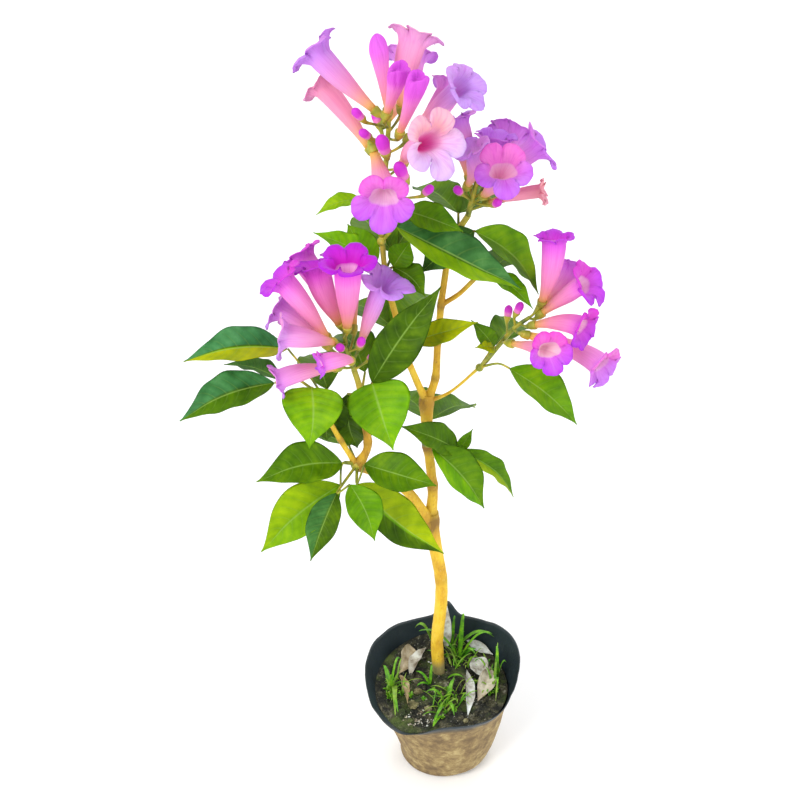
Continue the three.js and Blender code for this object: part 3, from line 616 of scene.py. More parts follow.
# Where each knot lies, how far it is felt, and how far it swells the stem
KNOTS = [
    ((-14, 14, 312), 12, 1.6), ((-18, 20, 455), 9, 1.4), ((-84, -30, 419), 9, 1.6), ((-2, 18, 232), 6, 0.3),
    ((-12, 16, 356), 5, 0.8), ((-17, 18, 404), 7, 1.4), ((-75, -30, 446), 5, 0.9), ((-40, 10, 521), 5, 0.9),
    ((-9, 24, 523), 5, 0.9), ((-6, 27, 560), 5, 0.8), ((-11, 22, 482), 4, 0.6), ((-99, -35, 452), 4, 0.6),
    ((-50, -10, 380), 5, 0.6),
]


def knot_at(point):
    """How strongly a knot is felt at a point, and how much it swells the stem there."""
    strength, swelling = 0, 0
    for centre, size, rise in KNOTS:
        near = exp(-((point - Vector(centre)).length / size) ** 2)
        strength = max(strength, near * min(1.0, rise))
        swelling += rise * near
    return strength, swelling


def bark_swell(point, around, along):
    """Knots and the slight unevenness of young bark, in millimetres."""
    ring = ring_point(2 * pi * around, 1, point.z / 14 + point.x / 30)
    return knot_at(point)[1] + 0.35 * noise.noise(ring * 1.3)


wood = bmesh.new()
for name, stops in WOOD.items():
    length = sum((Vector(a[:3]) - Vector(b[:3])).length for a, b in zip(stops, stops[1:]))
    steps = int(length / BARK_STEP)
    rounds = 20 if stops[0][3] > THICK else 14
    frames = line_frames(stops, steps)

    def knotty_at(around, along):
        """How strongly a knot is felt."""
        return knot_at(frames[round(along * steps)][0])[0]

    def fresh_at(around, along):
        """How green the bark is: only the ends of the young shoots are."""
        return 0.0 if name in OLD_WOOD else unit((along - 0.55) * 2.2)

    def soiled_at(around, along):
        """How soiled the bark is: the trunk's foot stands in wet soil."""
        height = frames[round(along * steps)][0].z
        return max(0.0, min(MOST_SOILED, (SOILED_BELOW - height) / 14)) if name == "trunk" else 0.0

    tube(wood, stops, rounds, steps, swell=bark_swell, values={
        "knot": knotty_at, "fresh": fresh_at, "soiled": soiled_at})
woody_stem = finished_piece("woody_stem", wood, [bark_finish], "wood_skin")
print("woody stem:", len(woody_stem.data.polygons), "faces")

# %% [markdown]
# ## Leaves
#
# Most leaves have two leaflets on a slim petiole. A leaflet is a flattened wrapped skin: half of its
# round is the upper side and half the lower. Its outline is elliptic with a drawn-out tip, it is folded
# a little along the midrib, its edges ripple, and it arches from foot to tip.
#
# The list gives each node of the stem as its place, its thickness and its leaves. A leaf is the points of
# its petiole and its leaflets. A leaflet is its foot, tip, width, arch, the x and y of the way that its
# upper side looks for a z of 1, and its young value, or two of them where its halves differ: there one half
# is painted lit and the other painted shaded, as the fold along the midrib shows them. A young value below
# 0 is the bluish green of a painted sky sheen. A foot that is a point of the petiole is given by that
# point's number.
#
# They lie as the solids do, but for two leaflets of lower_leaves. The photograph shows the narrow one in
# front of the broad one, so here they stand up to 17 mm nearer to the camera or farther from it.

# %% Leaf layout
LEAFY_NODES = {
    "lower_leaves": ((-84, -30, 419), 7.4, [
        ([(-97, -42, 430), (-99, -54, 414)], [
            (0, (-175, -72, 432), 42, 9, 0, -0.6, 0.12),
            (1, (-172, -98, 370), 46, 2, -0.1, -1, (0.6, 0.7))]),
        ([(-102, -68, 416), (-90, -62, 421)], [
            (0, (-126, -107, 367), 30, 4, -0.2, -0.9, (0, -0.4)),
            (1, (-67, -94, 380), 34, 4, 0.3, -0.9, 0.35)]),
        ([(-84, -52, 413), (-77, -40, 427)], [
            (0, (-2, -60, 334), 44, -5, 0.6, -0.9, (0.82, 0)),
            (1, (-10, -56, 414), 38, 7, 0.2, -0.7, 0.15)]),
        ([(-92, -8, 424)], [
            (0, (-142, 46, 396), 38, 8, -0.3, 0.4, 0.1),
            (0, (-66, 62, 398), 38, 8, 0.2, 0.5, 0.2)])]),
    "trunk_leaves": ((-17, 18, 408), 7.8, [
        ([(-20, 2, 418), (-14, -7, 421)], [
            (1, (37, -20, 356), 42, 6, 0.7, -0.7, (0.15, 0.5))]),
        ([(-4, 11, 402), (12, 9, 405)], [
            (1, (-44, -8, 447), 30, 6, -0.2, -0.6, 0.1),
            (1, (67, 10, 345), 24, 12, 0.9, -0.5, (0.2, 0.8)),
            (1, (25, 12, 428), 12, 2, 0.2, -0.8, 0.2)]),
        ([(-16, 44, 414)], [
            (0, (-52, 116, 388), 40, 9, -0.2, 0.5, 0.1),
            (0, (32, 104, 384), 40, 9, 0.3, 0.5, 0.1)])]),
    "left_leaves": ((-112, -40, 502), 4.8, [
        ([(-122, -57, 528)], [
            (0, (-124, -94, 488), 54, 5, 0, -1.3, 0.55)]),
        ([(-124, -34, 522), (-144, -26, 548)], [
            (1, (-236, -42, 545), 40, 10, -0.1, -0.3, (1, -0.8))]),
        ([(-136, -34, 520), (-156, -42, 522)], [
            (1, (-240, -70, 500), 38, 8, -0.1, -0.5, (0.1, -0.7)),
            ((-150, -37, 521), (-204, -14, 522), 26, 5, -0.2, 0.2, -0.3)]),
        ([(-110, -22, 500)], [
            (0, (-112, -26, 444), 40, 5, 0.2, -1, 0),
            (0, (-130, 44, 492), 40, 8, -0.2, 0.4, 0.1)])]),
    "middle_leaves": ((-79, -30, 500), 5.6, [
        ([(-72, -38, 512), (-69, -42, 522)], [
            (1, (-50, -80, 475), 58, 5, 0.15, -1, (0.5, 0.35)),
            (1, (-8, -22, 612), 40, 7, 0.5, -0.9, 0)]),
        ([(-92, -18, 492)], [
            (0, (-84, -12, 424), 38, 5, -0.2, -1, 0)]),
        ([(-76, -6, 508)], [
            (0, (-104, 66, 500), 40, 9, -0.2, 0.4, 0.1)])]),
    "fork_leaves": ((-41, 9, 526), 5.6, [
        ([(-34, -3, 540)], [
            (0, (26, -6, 563), 24, 8, 0.2, -0.7, 0.95)]),
        ([(-48, 26, 532)], [
            (0, (-92, 88, 520), 40, 9, -0.3, 0.4, 0.1),
            (0, (-14, 98, 524), 42, 10, 0.2, 0.5, 0.2)])]),
    "crown_leaves": ((-57, -1, 614), 5.2, [
        ([(-64, -6, 626)], [
            (0, (-90, 16, 652), 30, 4, -0.5, -0.9, 0.3),
            (0, (-120, 8, 648), 24, 5, -0.1, -0.3, 0.5)]),
        ([(-50, -10, 624)], [
            (0, (-35, 2, 643), 24, 4, 0.4, -0.9, 0.25),
            (0, (-22, -30, 606), 26, 5, 0.4, -0.7, 0.1)]),
        ([(-50, 16, 622)], [
            (0, (-84, 82, 622), 40, 9, -0.3, 0.4, 0.1),
            (0, (-18, 96, 616), 42, 10, 0.2, 0.4, 0.1)])]),
    "crown_foot_leaves": ((-60, -5, 647), 4.6, [
        ([(-66, 2, 668), (-76, 6, 682)], [
            (1, (-116, -6, 674), 15, 8, 0, -0.5, 0.6)]),
        ([(-50, -10, 662), (-40, -8, 680)], [
            (1, (10, -22, 667), 27, 6, 0.2, -0.8, 0.25),
            ((-48, -9.6, 665.6), (62, -28, 612), 44, 8, 0.4, -0.5, (-0.5, 0.6))])]),
    "high_leaves": ((8, 30, 632), 5.4, [
        ([(22, 24, 640)], [
            (0, (82, 28, 570), 44, 8, 0.8, -0.4, (0.4, 0.2)),
            (0, (-26, 14, 602), 36, 5, -0.4, -0.8, -0.3)]),
        ([(8, 48, 644)], [
            (0, (-32, 112, 632), 40, 9, -0.2, 0.4, 0.1),
            (0, (58, 106, 622), 42, 9, 0.4, 0.4, 0.1)])]),
    "side_leaves": ((27, 26, 593), 4.6, [
        ([(36, 25, 595)], [
            (0, (74, -10, 580), 20, 4, 0.3, -0.5, 0.4),
            (0, (72, 68, 582), 30, 7, 0.2, 0.2, 0.1)])]),
    "spray_leaves": ((30, 19, 495), 4.6, [
        ([(46, 10, 506), (57, 8, 502)], [
            (1, (121, -10, 450), 40, 9, 0.6, -0.6, 0.35)]),
        ([(38, 8, 516), (42, 6, 528)], [
            (1, (20, 2, 560), 18, 5, -0.4, -0.6, 0.1),
            ((42, 6, 526), (24, -10, 538), 16, 4, -0.3, -0.9, 0.95)]),
        ([(44, 34, 510)], [
            (0, (78, 92, 492), 36, 8, 0.3, 0.4, 0.1)])]),
}
print("leafy nodes:", len(LEAFY_NODES))


# %% One leaflet
LEAF_TAPER, DRIP_TIP, DRIP_FROM = 1.15, 0.45, 0.62
LEAF_ROUNDS, LEAF_STEPS = 28, 26
LEAF_END, THINNEST = 0.004, 0.5
RIB_HEIGHT, RIB_WIDTH, QUILT = 1.1, 0.07, 0.5


def leaf_half_width(t, broadest):
    """Half the width of a leaflet with a drawn-out tip, for a width of 1."""
    power = LEAF_TAPER * broadest / (1 - broadest)
    drawn_out = 1 - DRIP_TIP * max(0.0, (t - DRIP_FROM) / (1 - DRIP_FROM)) ** 1.5
    return 0.5 * (t / broadest) ** power * ((1 - t) / (1 - broadest)) ** LEAF_TAPER * drawn_out


def across_of(around):
    """How far across the leaf a round's point lies, from -1 to 1, and whether it is below."""
    below = around > 0.5
    share = (around - 0.5) * 2 if below else around * 2
    across = -cos(pi * share) * 0.35 + (2 * share - 1) * 0.65
    return (-across if below else across), below


def leaflet(mesh, blade, seed, broadest, thickness=0.5, ripple=1.5, fold=0.36, curl=0.0):
    """A thin closed leaflet from its foot to its tip, broadest at a share of its length."""
    foot, tip, width, arch, look_x, look_y, young = blade
    start, span = Vector(foot), Vector(tip) - Vector(foot)
    forward = span.normalized()
    up = Vector((look_x, look_y, 1))
    up = (up - forward * up.dot(forward)).normalized()
    side = forward.cross(up)
    chance = random.Random(seed)
    phase = chance.uniform(0, 6.28)
    sway = chance.uniform(-0.05, 0.05) * span.length
    waves = chance.uniform(2.4, 3.6)
    # A pair of young values paints one half of the leaflet lit and the other half shaded
    side_tones_and_painted_light = young if isinstance(young, tuple) else (young, young)

    def place(around, along):
        across, below = across_of(around)
        t = LEAF_END + (1 - 2 * LEAF_END) * along
        half = max(THINNEST, width * leaf_half_width(t, broadest))
        tip_turn = sway * (sin(pi * t) - 0.6 * max(0.0, t - 0.7) * (1 - t) * 10)
        spine = start + span * t + up * (arch * sin(pi * t)) + side * tip_turn
        lift = fold * half * abs(across) ** 1.25
        lift += curl * half * across ** 2
        room = min(1.0, half / 12)
        edge = across ** 2 * sin(pi * t) * room
        lift += ripple * edge * sin(2 * pi * waves * t + phase + (1.7 if across > 0 else 0))
        quilt = sin(2 * pi * VEIN_PAIRS * (t - VEIN_LEAN * abs(across) ** VEIN_BEND))
        lift += QUILT * (quilt * abs(across) * (1 - across ** 2)) * room
        rib = RIB_HEIGHT * (1 - t) * exp(-(across / RIB_WIDTH) ** 2)
        drop = (thickness * (1 - 0.6 * across ** 2) + rib) if below else 0.25 * rib
        return (spine + side * (across * half) + up * (lift - drop)) * MM

    def uv_of(around, along, middle):
        around = 0.0 if middle < 0.5 and around > 0.9 else around
        return (across_of(around)[0] * 0.5 + 0.5, along)

    wrapped_skin(mesh, LEAF_ROUNDS, LEAF_STEPS, place, uv_of=uv_of, values={
        "under": lambda around, along: 1.0 if 0.52 < around < 0.98 else 0.0,
        "young": lambda around, along: side_tones_and_painted_light[across_of(around)[0] > 0]})


# %% Leafy nodes
BROADEST, HEART_BROADEST, HEART_WIDTH = 0.42, 0.26, 50
PETIOLE_FOOT, PETIOLE_RADIUS, PETIOLE_ROUNDS, PETIOLE_STEPS = 1.5, 1.05, 8, 10
RIDGE_SHARE = 0.86


def petiole_line(at, petiole, foot):
    """A slightly bowed line from the stem to a leaflet's foot."""
    points = [Vector(at), *[Vector(p) for p in petiole]]
    if (points[-1] - Vector(foot)).length > 0.5:
        nearest = min(range(len(points)), key=lambda i: (points[i] - Vector(foot)).length)
        points = points[:max(nearest, 1)] + [Vector(foot)]
    return [(*p, PETIOLE_FOOT if i == 0 else PETIOLE_RADIUS) for i, p in enumerate(points)]


leaf_count = 0
for node_name, (at, collar, leaves) in LEAFY_NODES.items():
    node = bmesh.new()
    for petiole, blades in leaves:
        for foot, tip, width, *bearing in blades:
            leaf_count += 1
            foot = petiole[foot] if isinstance(foot, int) else foot
            broadest = HEART_BROADEST if width > HEART_WIDTH else BROADEST
            tube(node, petiole_line(at, petiole, foot), PETIOLE_ROUNDS, PETIOLE_STEPS, finish=1)
            leaflet(node, (foot, tip, width, *bearing), leaf_count, broadest)
    radius = collar * RIDGE_SHARE * MM
    ridge = bmesh.ops.create_uvsphere(node, u_segments=16, v_segments=10, radius=radius)["verts"]
    bmesh.ops.translate(node, verts=ridge, vec=Vector(at) * MM)
    for face in faces_of(ridge):
        face.material_index = 1
        face.smooth = True
    finished_piece(node_name, node, [leaf_finish, stalk_finish])
print("leaflets:", leaf_count)

# %% [markdown]
# ## Trumpet flowers
#
# A flower is one closed skin too. Its stations run up the outside of the tube, over the five broad
# lobes to their edge, and back down the inside to deep in the throat. The tube bends from its calyx
# to the way that the flower looks, and is a little flattened. The edge is notched between lobes,
# rippled, and rolls back slightly.
#
# The list gives each head's axis as points with a radius, and its buds as foot, tip and sometimes
# thickness. A flower is its calyx, its throat, the way that it looks as a heading and a height in
# degrees, the radius of its face, how open it is, its age and its cast.

# %% Flower layout
HEADS = {
    "crown": {
        "axis": [(-60, -5, 652.3, 2.4), (-58, -6, 700, 2.4), (-55, -8, 735, 2.3), (-53, -6, 768, 2)],
        "buds": [((-72, -18, 769), (-82, -24, 784)), ((-67, -24, 757), (-76, -33, 769)),
                 ((-54, -31, 742), (-60, -40, 768), 5.6), ((-38, -30, 718), (-46, -42, 744), 5.4),
                 ((-26, -14, 697), (-17, -20, 710)), ((-60, 14, 744), (-66, 26, 756))],
        "blooms": [
            ((-65, -8, 775), (-109, 12, 812), 150, 38, 27, 1, 0.6, 0.8),
            ((-70, 4, 733), (-107, 32, 773), 148, 32, 21, 0.9, 0.6, -0.6),
            ((-54, -2, 773), (-63, 6, 834), 134, 77, 9, 0, -0.1, 0),
            ((-55, -20, 778), (-44, -24, 820), -60, 72, 9, 0, -0.35, 0.1),
            ((-44, -26, 764), (-29, -42, 822), -58, 70, 9, 0, -0.35, 0.1),
            ((-43, 12, 768), (-35, 22, 818), 60, 52, 28, 0.9, 0.85, -0.2),
            ((-36, -8, 750), (5, -8, 794), -30, 42, 24, 1, 0.8, 0.9),
            ((-41, -18, 731), (-22, -62, 773), -52, 28, 31, 1, 1, 0),
            ((-66, -24, 746), (-57, -58, 722), -94, 4, 28, 1, 0.15, 0.25),
            ((-56, 16, 752), (-36, 64, 782), 84, 40, 25, 1, 0.5, 0.3),
            ((-38, 10, 722), (-4, 48, 760), 50, 36, 22, 1, 0.5, 0.3)]},
    "high": {
        "axis": [(16, 30, 652.3, 2.6), (20, 30, 672, 2.3), (24, 31, 690, 1.8)],
        "buds": [((36, 16, 670), (42, 7, 680)), ((10, 22, 678), (4, 12, 690))],
        "blooms": [
            ((29, 20, 678), (42, -18, 722), -84, 50, 28, 0.9, 0.25, 0.1),
            ((15, 28, 684), (18, 22, 718), 168, 68, 22, 0.8, 0.6, 0.7),
            ((26, 40, 684), (38, 48, 714), 60, 76, 24, 0.7, 0.3, 0.8),
            ((34, 32, 682), (70, 26, 719), 10, 34, 25, 1, 0.35, 0.7),
            ((34, 26, 668), (75, 6, 690), -10, 12, 16, 0.6, 0.9, -0.9),
            ((16, 40, 686), (6, 56, 726), 130, 56, 24, 0.8, 0.5, 0.6),
            ((30, 38, 672), (52, 78, 700), 62, 30, 26, 1, 0.4, 0.5)]},
    "left": {
        "axis": [(-85, -31, 528.3, 2.5), (-90, -33, 548, 2.2), (-93, -34, 566, 1.8)],
        "buds": [((-80, -42, 560), (-77, -49, 575)), ((-73, -34, 540), (-66, -38, 551)),
                 ((-94, -50, 564), (-97, -60, 574))],
        "blooms": [
            ((-90, -42, 582), (-88, -60, 652), -80, 84, 36, 0.62, -0.6, 0),
            ((-97, -30, 578), (-114, -30, 629), 122, 66, 26, 0.9, -0.45, 0),
            ((-108, -42, 572), (-141, -52, 633), 164, 48, 25, 0.9, -0.25, 0),
            ((-96, -16, 568), (-128, 8, 618), 146, 44, 25, 1, -0.1, 0.2),
            ((-110, -28, 554), (-148, -18, 582), 166, 22, 22, 0.9, 0.45, 0.6),
            ((-103, -50, 572), (-138, -76, 596), 178, 4, 24, 0.9, 0.7, 0.3),
            ((-101, -44, 540), (-146, -68, 546), -168, -20, 22, 0.6, 0.5, 0.35),
            ((-87, -56, 556), (-109, -92, 580), -160, -2, 20, 0.35, 0.1, 0.15),
            ((-79, -30, 556), (-60, -40, 620), 0, 68, 28, 0.9, 0.6, 0.9),
            ((-86, -12, 562), (-92, 34, 600), 95, 40, 26, 1, 0.2, 0.2)]},
    "right": {
        "axis": [(36.2, 18, 503.3, 2), (58, 18, 537, 2.2), (74, 18, 552, 1.8)],
        "buds": [((54, 26, 541), (56, 33, 555)), ((60, 18, 552), (66, 18, 568))],
        "blooms": [
            ((84, 14, 572), (91, 6, 638), 90, 76, 21, 0.8, -0.5, 0.3),
            ((86, 26, 560), (110, 46, 580), 60, 36, 22, 0.9, 0.2, 0.5),
            ((85, 16, 558), (119, 13, 589), -20, 40, 24.5, 1, -0.15, 0.1),
            ((78, 6, 552), (116, -11, 562), -38, 0, 22.5, 0.9, -0.2, 0),
            ((58, 2, 534), (88, -33, 551), -76, 26, 21, 1, 0.05, 0),
            ((72, 4, 542), (136, -14, 523), -48, -10, 24, 0.9, 0.3, 0.2)]},
}
print("heads:", len(HEADS))


# %% Shape of a flower's tube and lobes
NECK, THROAT, PETAL_FILM = 3.4, 10.8, 0.7
WIDE, FLAT = 1.14, 0.82
LOBES, LOBE_SIZES = 5, (1.06, 1.0, 0.93, 0.93, 1.0)
CLEFT_SHARE, CLEFT_TURN = 0.16, radians(137)
CUP_FLOOR = 0.66
FLARE_START, FLARE_END = radians(20), radians(88)
FULL_GROWN = 23.4
OPENING = "crown_bloom_4", "crown_bloom_5"
BLOOM_ROUNDS, LIMB_STEPS, CUP_STEPS = 75, 12, 10
RIPPLE, RIPPLE_WAVES, CRINKLE, CRINKLE_WAVES = 1.5, 1.6, 0.3, 5.5
# The fluting of the tube, and the groove along the middle of each lobe
FLUTING, GROOVE_DEPTH, GROOVE_WIDTH = 0.04, 0.9, 0.16
# How far forward the lobes reach, how much less on an open flower, and where their edge rolls back
LOBE_THROW, THROW_LOSS, ROLL_FROM = 1.45, 0.5, 0.6
# A flower that is shut: its length, its foot's radius, how far it swells, and how its tip closes
SHUT_LENGTH, SHUT_FOOT, SHUT_SWELL, OPENING_SWELL = 1.035, 2.8, 4.9, 5.6
SHUT_FULL, TIP_CLOSING, OPENS_FROM, OPENING_SPAN = 0.75, 0.29, 0.8, 0.235
CREASE_TWIST, CREASE_DEPTH, TIP_RISE = 1.4, 0.20, 60


def tube_radius(t):
    """Radius of a flower's tube, from its foot at 0 to the throat at 1."""
    return NECK + (THROAT - NECK) * t ** 1.1 + 1.1 * sin(pi * t) ** 2


def throat_width(t):
    """How much narrower the inside of the tube gets below the throat, where the palate almost shuts it."""
    return 0.22 + 0.78 * max(0.0, (t - CUP_FLOOR) / (1 - CUP_FLOOR)) ** 0.8


def palate(angle, distance):
    """How far the lower side of the throat bulges inwards, at a distance before or after the throat."""
    return 0.34 * max(0.0, -sin(angle)) ** 3 * exp(-(distance / 0.24) ** 2)


def lobe_offset(around):
    """Which lobe a turn lies on, and how far from its middle, from -1 to 1."""
    turns = (around * LOBES + 0.5) % LOBES
    return int(turns), (turns - int(turns)) * 2 - 1


def lobe_edge(off, cleft, reach_out):
    """Across and outward place of a round lobe's edge, which runs from one cleft to the next."""
    half_sector = pi / LOBES
    width = cleft * sin(half_sector) / sin(CLEFT_TURN)
    height = (reach_out - cleft * cos(half_sector)) / (1 - cos(CLEFT_TURN))
    turn = CLEFT_TURN * off
    return width * sin(turn), reach_out - height + height * cos(turn)


# %% Line and stations of a flower
def facing(heading, height):
    """The way that a flower looks, and the way to its upper side."""
    turn, rise = radians(heading), radians(height)
    face = Vector((cos(turn) * cos(rise), sin(turn) * cos(rise), sin(rise)))
    upper = Vector((-cos(turn) * sin(rise), -sin(turn) * sin(rise), cos(rise)))
    return face, upper


def bloom_line(calyx, throat, face, t):
    """A point on a flower's bent centre line, and the direction there."""
    bend = throat - face * (0.4 * (throat - calyx).length)
    point = calyx * (1 - t) ** 2 + bend * (2 * t * (1 - t)) + throat * t ** 2
    ahead = (bend - calyx) * (2 * (1 - t)) + (throat - bend) * (2 * t)
    return point, ahead.normalized()


def bloom_stations():
    """Stations along a flower's skin, each its reach and whether it is inside."""
    steps = range(1, LIMB_STEPS + 1)
    outer = [i / LIMB_STEPS for i in (0, *steps)] + [1 + i / LIMB_STEPS for i in steps]
    inner = [1 + i / LIMB_STEPS for i in reversed(steps)]
    inner += [1 - i / CUP_STEPS * (1 - CUP_FLOOR) for i in range(CUP_STEPS + 1)]
    return [(reach, 0.0) for reach in outer] + [(reach, 1.0) for reach in inner]


STATIONS = bloom_stations()


def station_at(along):
    """The reach of a station, and whether it is inside."""
    return STATIONS[round(along * (len(STATIONS) - 1))]


print("stations of a flower:", len(STATIONS))


# %% One flower
def bloom(name, bloom_data, seed):
    """A trumpet flower from its calyx to its five lobes."""
    calyx, throat, heading, height, radius, openness, age, cast = bloom_data
    calyx, throat = Vector(calyx), Vector(throat)
    face, upper = facing(heading, height)
    side = face.cross(upper)
    chance = random.Random(seed)
    sizes = [size * chance.uniform(0.93, 1.03) for size in LOBE_SIZES]
    tilts = [chance.uniform(-0.12, 0.16) for _ in range(LOBES)]
    phases = [chance.uniform(0, 6.28) for _ in range(LOBES)]
    rolls = [chance.uniform(-2.6, 0.8) for _ in range(LOBES)]
    size = min(1.0, radius / FULL_GROWN)
    shut = openness == 0
    opening = name in OPENING
    mouth = THROAT * size * (0.8 + 0.2 * openness)
    spread = (radius - mouth) * openness
    cleft = mouth + CLEFT_SHARE * spread

    def angle_of(around):
        return 2 * pi * around - pi / 2

    def across_tube(point, axis, angle, r):
        """A point of the flattened round at an angle and a reach from the line."""
        top = (upper - axis * upper.dot(axis)).normalized()
        return point + axis.cross(top) * (WIDE * r * cos(angle)) + top * (FLAT * r * sin(angle))

    def tube_point(around, t, inset):
        """A point of an open flower's tube, at a share of the way to the throat."""
        point, axis = bloom_line(calyx, throat, face, t)
        angle = angle_of(around)
        ease = t ** 3
        r = tube_radius(t) * size * (1 - ease) + mouth * ease
        r = (r - inset) * (throat_width(t) if inset else 1.0) * (1 - palate(angle, 1 - t))
        r *= 1 + FLUTING * cos(LOBES * (angle + pi / 2)) * t
        return across_tube(point, axis, angle, max(0.4, r))

    def limb_point(around, s, inset):
        """A point of a lobe, at a share of the way from the throat to the lobe's edge."""
        lobe, off = lobe_offset(around)
        angle = angle_of(around)
        r = (mouth - inset) * (1 - palate(angle, s))
        r *= 1 + FLUTING * cos(LOBES * (angle + pi / 2))
        near = Vector((WIDE * r * cos(angle), FLAT * r * sin(angle)))
        out_turn = 2 * pi * lobe / LOBES - pi / 2
        across, outward = lobe_edge(off, cleft, (mouth + spread) * sizes[lobe])
        crinkle = sin(CRINKLE_WAVES * off * pi + phases[lobe])
        middle = 1 - off ** 2
        outward += CRINKLE * crinkle * middle
        far = Vector((outward * cos(out_turn) - across * sin(out_turn),
                      outward * sin(out_turn) + across * cos(out_turn)))
        slant = FLARE_START + (FLARE_END - FLARE_START) * s
        whole = cos(FLARE_START) - cos(FLARE_END)
        outwards = (cos(FLARE_START) - cos(slant)) / whole
        flat = near.lerp(far, 0.3 * s + 0.7 * outwards)
        forward = spread * (LOBE_THROW - THROW_LOSS * openness)
        forward *= (sin(slant) - sin(FLARE_START)) / whole
        forward += spread * tilts[lobe] * s ** 2 * middle
        forward -= spread * max(0.0, s - ROLL_FROM) ** 2 * middle ** 0.5 * openness
        forward += rolls[lobe] * off ** 2 * s ** 2
        forward += RIPPLE * s ** 2 * sin(RIPPLE_WAVES * off * pi + phases[lobe])
        forward += 0.25 * s ** 3 * crinkle
        forward -= GROOVE_DEPTH * sin(pi * min(1.0, s * 0.9)) * exp(-(off / GROOVE_WIDTH) ** 2)
        forward += inset
        return throat + side * flat.x + upper * flat.y + face * forward

    def shut_point(around, t):
        """A point of a flower that is still shut, or just opening at its tip."""
        point, axis = bloom_line(calyx, throat, face, min(t, 1.0))
        angle = angle_of(around)
        swell = OPENING_SWELL if opening else SHUT_SWELL
        r = SHUT_FOOT + swell * min(1.0, t / SHUT_FULL) ** 1.2
        rise = max(0.0, t - 1) * TIP_RISE
        crease = max(0.0, cos(LOBES * (angle - CREASE_TWIST * t) + seed)) ** 3
        r *= 1.03 - CREASE_DEPTH * t ** 3 * crease
        if opening and t > OPENS_FROM:
            share = (t - OPENS_FROM) / OPENING_SPAN
            r *= 1 + 0.10 * sin(pi * share) - 0.62 * share ** 2
            lobing = 1 + 0.5 * sin(2 * angle + seed)
            rise = 5 * sin(pi * min(1.0, share)) * lobing - 4 * share ** 2
        elif t > SHUT_FULL:
            r *= sqrt(max(0.0, 1 - ((t - SHUT_FULL) / TIP_CLOSING) ** 2))
        return across_tube(point, axis, angle, max(r, 0.3)) + axis * rise

    def place(around, along):
        if shut:
            return shut_point(around, along * SHUT_LENGTH) * MM
        station, inside = station_at(along)
        inset = PETAL_FILM * inside
        if station <= 1:
            return tube_point(around, 0.01 + 0.99 * station, inset) * MM
        return limb_point(around, station - 1, inset) * MM

    def reach_at(around, along):
        return along * 1.5 if shut else station_at(along)[0]

    def inner_at(around, along):
        return 0.0 if shut else station_at(along)[1]

    def grain_at(around, along):
        angle = 2 * pi * around
        return (cos(angle) * 9 + seed, sin(angle) * 9, reach_at(around, along) * 1.3)

    def lip_at(around, along):
        return 0.5 + 0.5 * max(-1.0, min(1.0, 1.8 * sin(angle_of(around)) - 0.2))

    flower = bmesh.new()
    wrapped_skin(flower, BLOOM_ROUNDS, len(STATIONS) - 1, place, values={
        "reach": reach_at, "inner": inner_at, "grain": grain_at, "lip": lip_at,
        "age": age, "cast": cast})
    finished_piece(name, flower, [petal_finish])


# %% [markdown]
# ## Stalks, calyces and buds
#
# All the green of a flower head hangs together: the axis, a pedicel for each flower, its cup-shaped
# calyx, and the small buds, whose tips already show magenta. The petal finish colours those tips. A bud
# swells and ends in a point: its shape gives the share of its length and of its belly at each stop.

# %% Flower heads
BUD_SHAPE = [(0.2, 0.7), (0.5, 0.94), (0.78, 1.0), (0.93, 0.72), (1.0, 0.36), (1.03, 0.08)]
BUD_AGE, BUD_ROUNDS = -0.6, 12
AXIS_ROUNDS, AXIS_STEPS, CUP_ROUNDS, CUP_LENGTH = 12, 24, 14, 8


def nearest_root(axis, foot):
    """The point of the head's axis from which a pedicel rises to a foot."""
    aim = foot + Vector((0, 0, -9))
    points = [smooth_line(axis, i / AXIS_STEPS)[0] for i in range(AXIS_STEPS + 1)]
    return min(points, key=lambda point: (point - aim).length)


def calyx_cup(mesh, axis, flower_foot, towards):
    """A pedicel that widens into a cup round a flower's foot."""
    out = Vector(flower_foot)
    back = out - towards * CUP_LENGTH
    root = nearest_root(axis, back)
    middle = root.lerp(back, 0.5) + Vector((0, 0, -1.0))
    stops = [(*root, 1.3), (*middle, 1.15), (*back, 1.8), (*(back + towards * 3), 3.6),
             (*(out + towards * 0.3), 4.5), (*(out + towards * 1.2), 4.2)]
    tube(mesh, stops, CUP_ROUNDS, 26, values={"cup": lambda around, along: max(0.0, along - 0.5) * 2})


def small_bud(mesh, axis, base, tip, belly=3.8):
    """A small bud with a green cup, peach above it, and a magenta tip."""
    base, tip = Vector(base), Vector(tip)
    root = nearest_root(axis, base)
    stops = [(*root, 1.2), (*root.lerp(base, 0.6), 1.1), (*base, 1.7),
             (*base.lerp(tip, 0.25), 0.85 * belly), (*base.lerp(tip, 0.36), 0.9 * belly)]
    tube(mesh, stops, BUD_ROUNDS, 16, values={"cup": lambda around, along: along})
    petals = [(*base.lerp(tip, share), thick * belly) for share, thick in BUD_SHAPE]
    tube(mesh, petals, BUD_ROUNDS, 14, finish=1, values={
        "reach": lambda around, along: 0.1 + min(1.4, along * 3.0), "age": BUD_AGE})


bloom_count = 0
for head, parts in HEADS.items():
    green = bmesh.new()
    tube(green, parts["axis"], AXIS_ROUNDS, AXIS_STEPS)
    for i, data in enumerate(parts["blooms"]):
        bloom_count += 1
        bloom(f"{head}_bloom_{i + 1}", data, bloom_count)
        calyx, throat, heading, height, *_ = data
        towards = bloom_line(Vector(calyx), Vector(throat), facing(heading, height)[0], 0)[1]
        calyx_cup(green, parts["axis"], calyx, towards)
    for bud in parts["buds"]:
        small_bud(green, parts["axis"], *bud)
    finished_piece(f"{head}_head_stalk", green, [stalk_finish, petal_finish])
print("flowers:", bloom_count)

# %% [markdown]
# ## Nursery bag
#
# The bag is thin black film. Its foot is flat, its side swells a little under the soil's weight, and
# its mouth flares and ripples. It is one wrapped skin whose stations run from the foot's middle, up
# the outside, over the rim, and down the inside. Creases run up the side and round the foot.

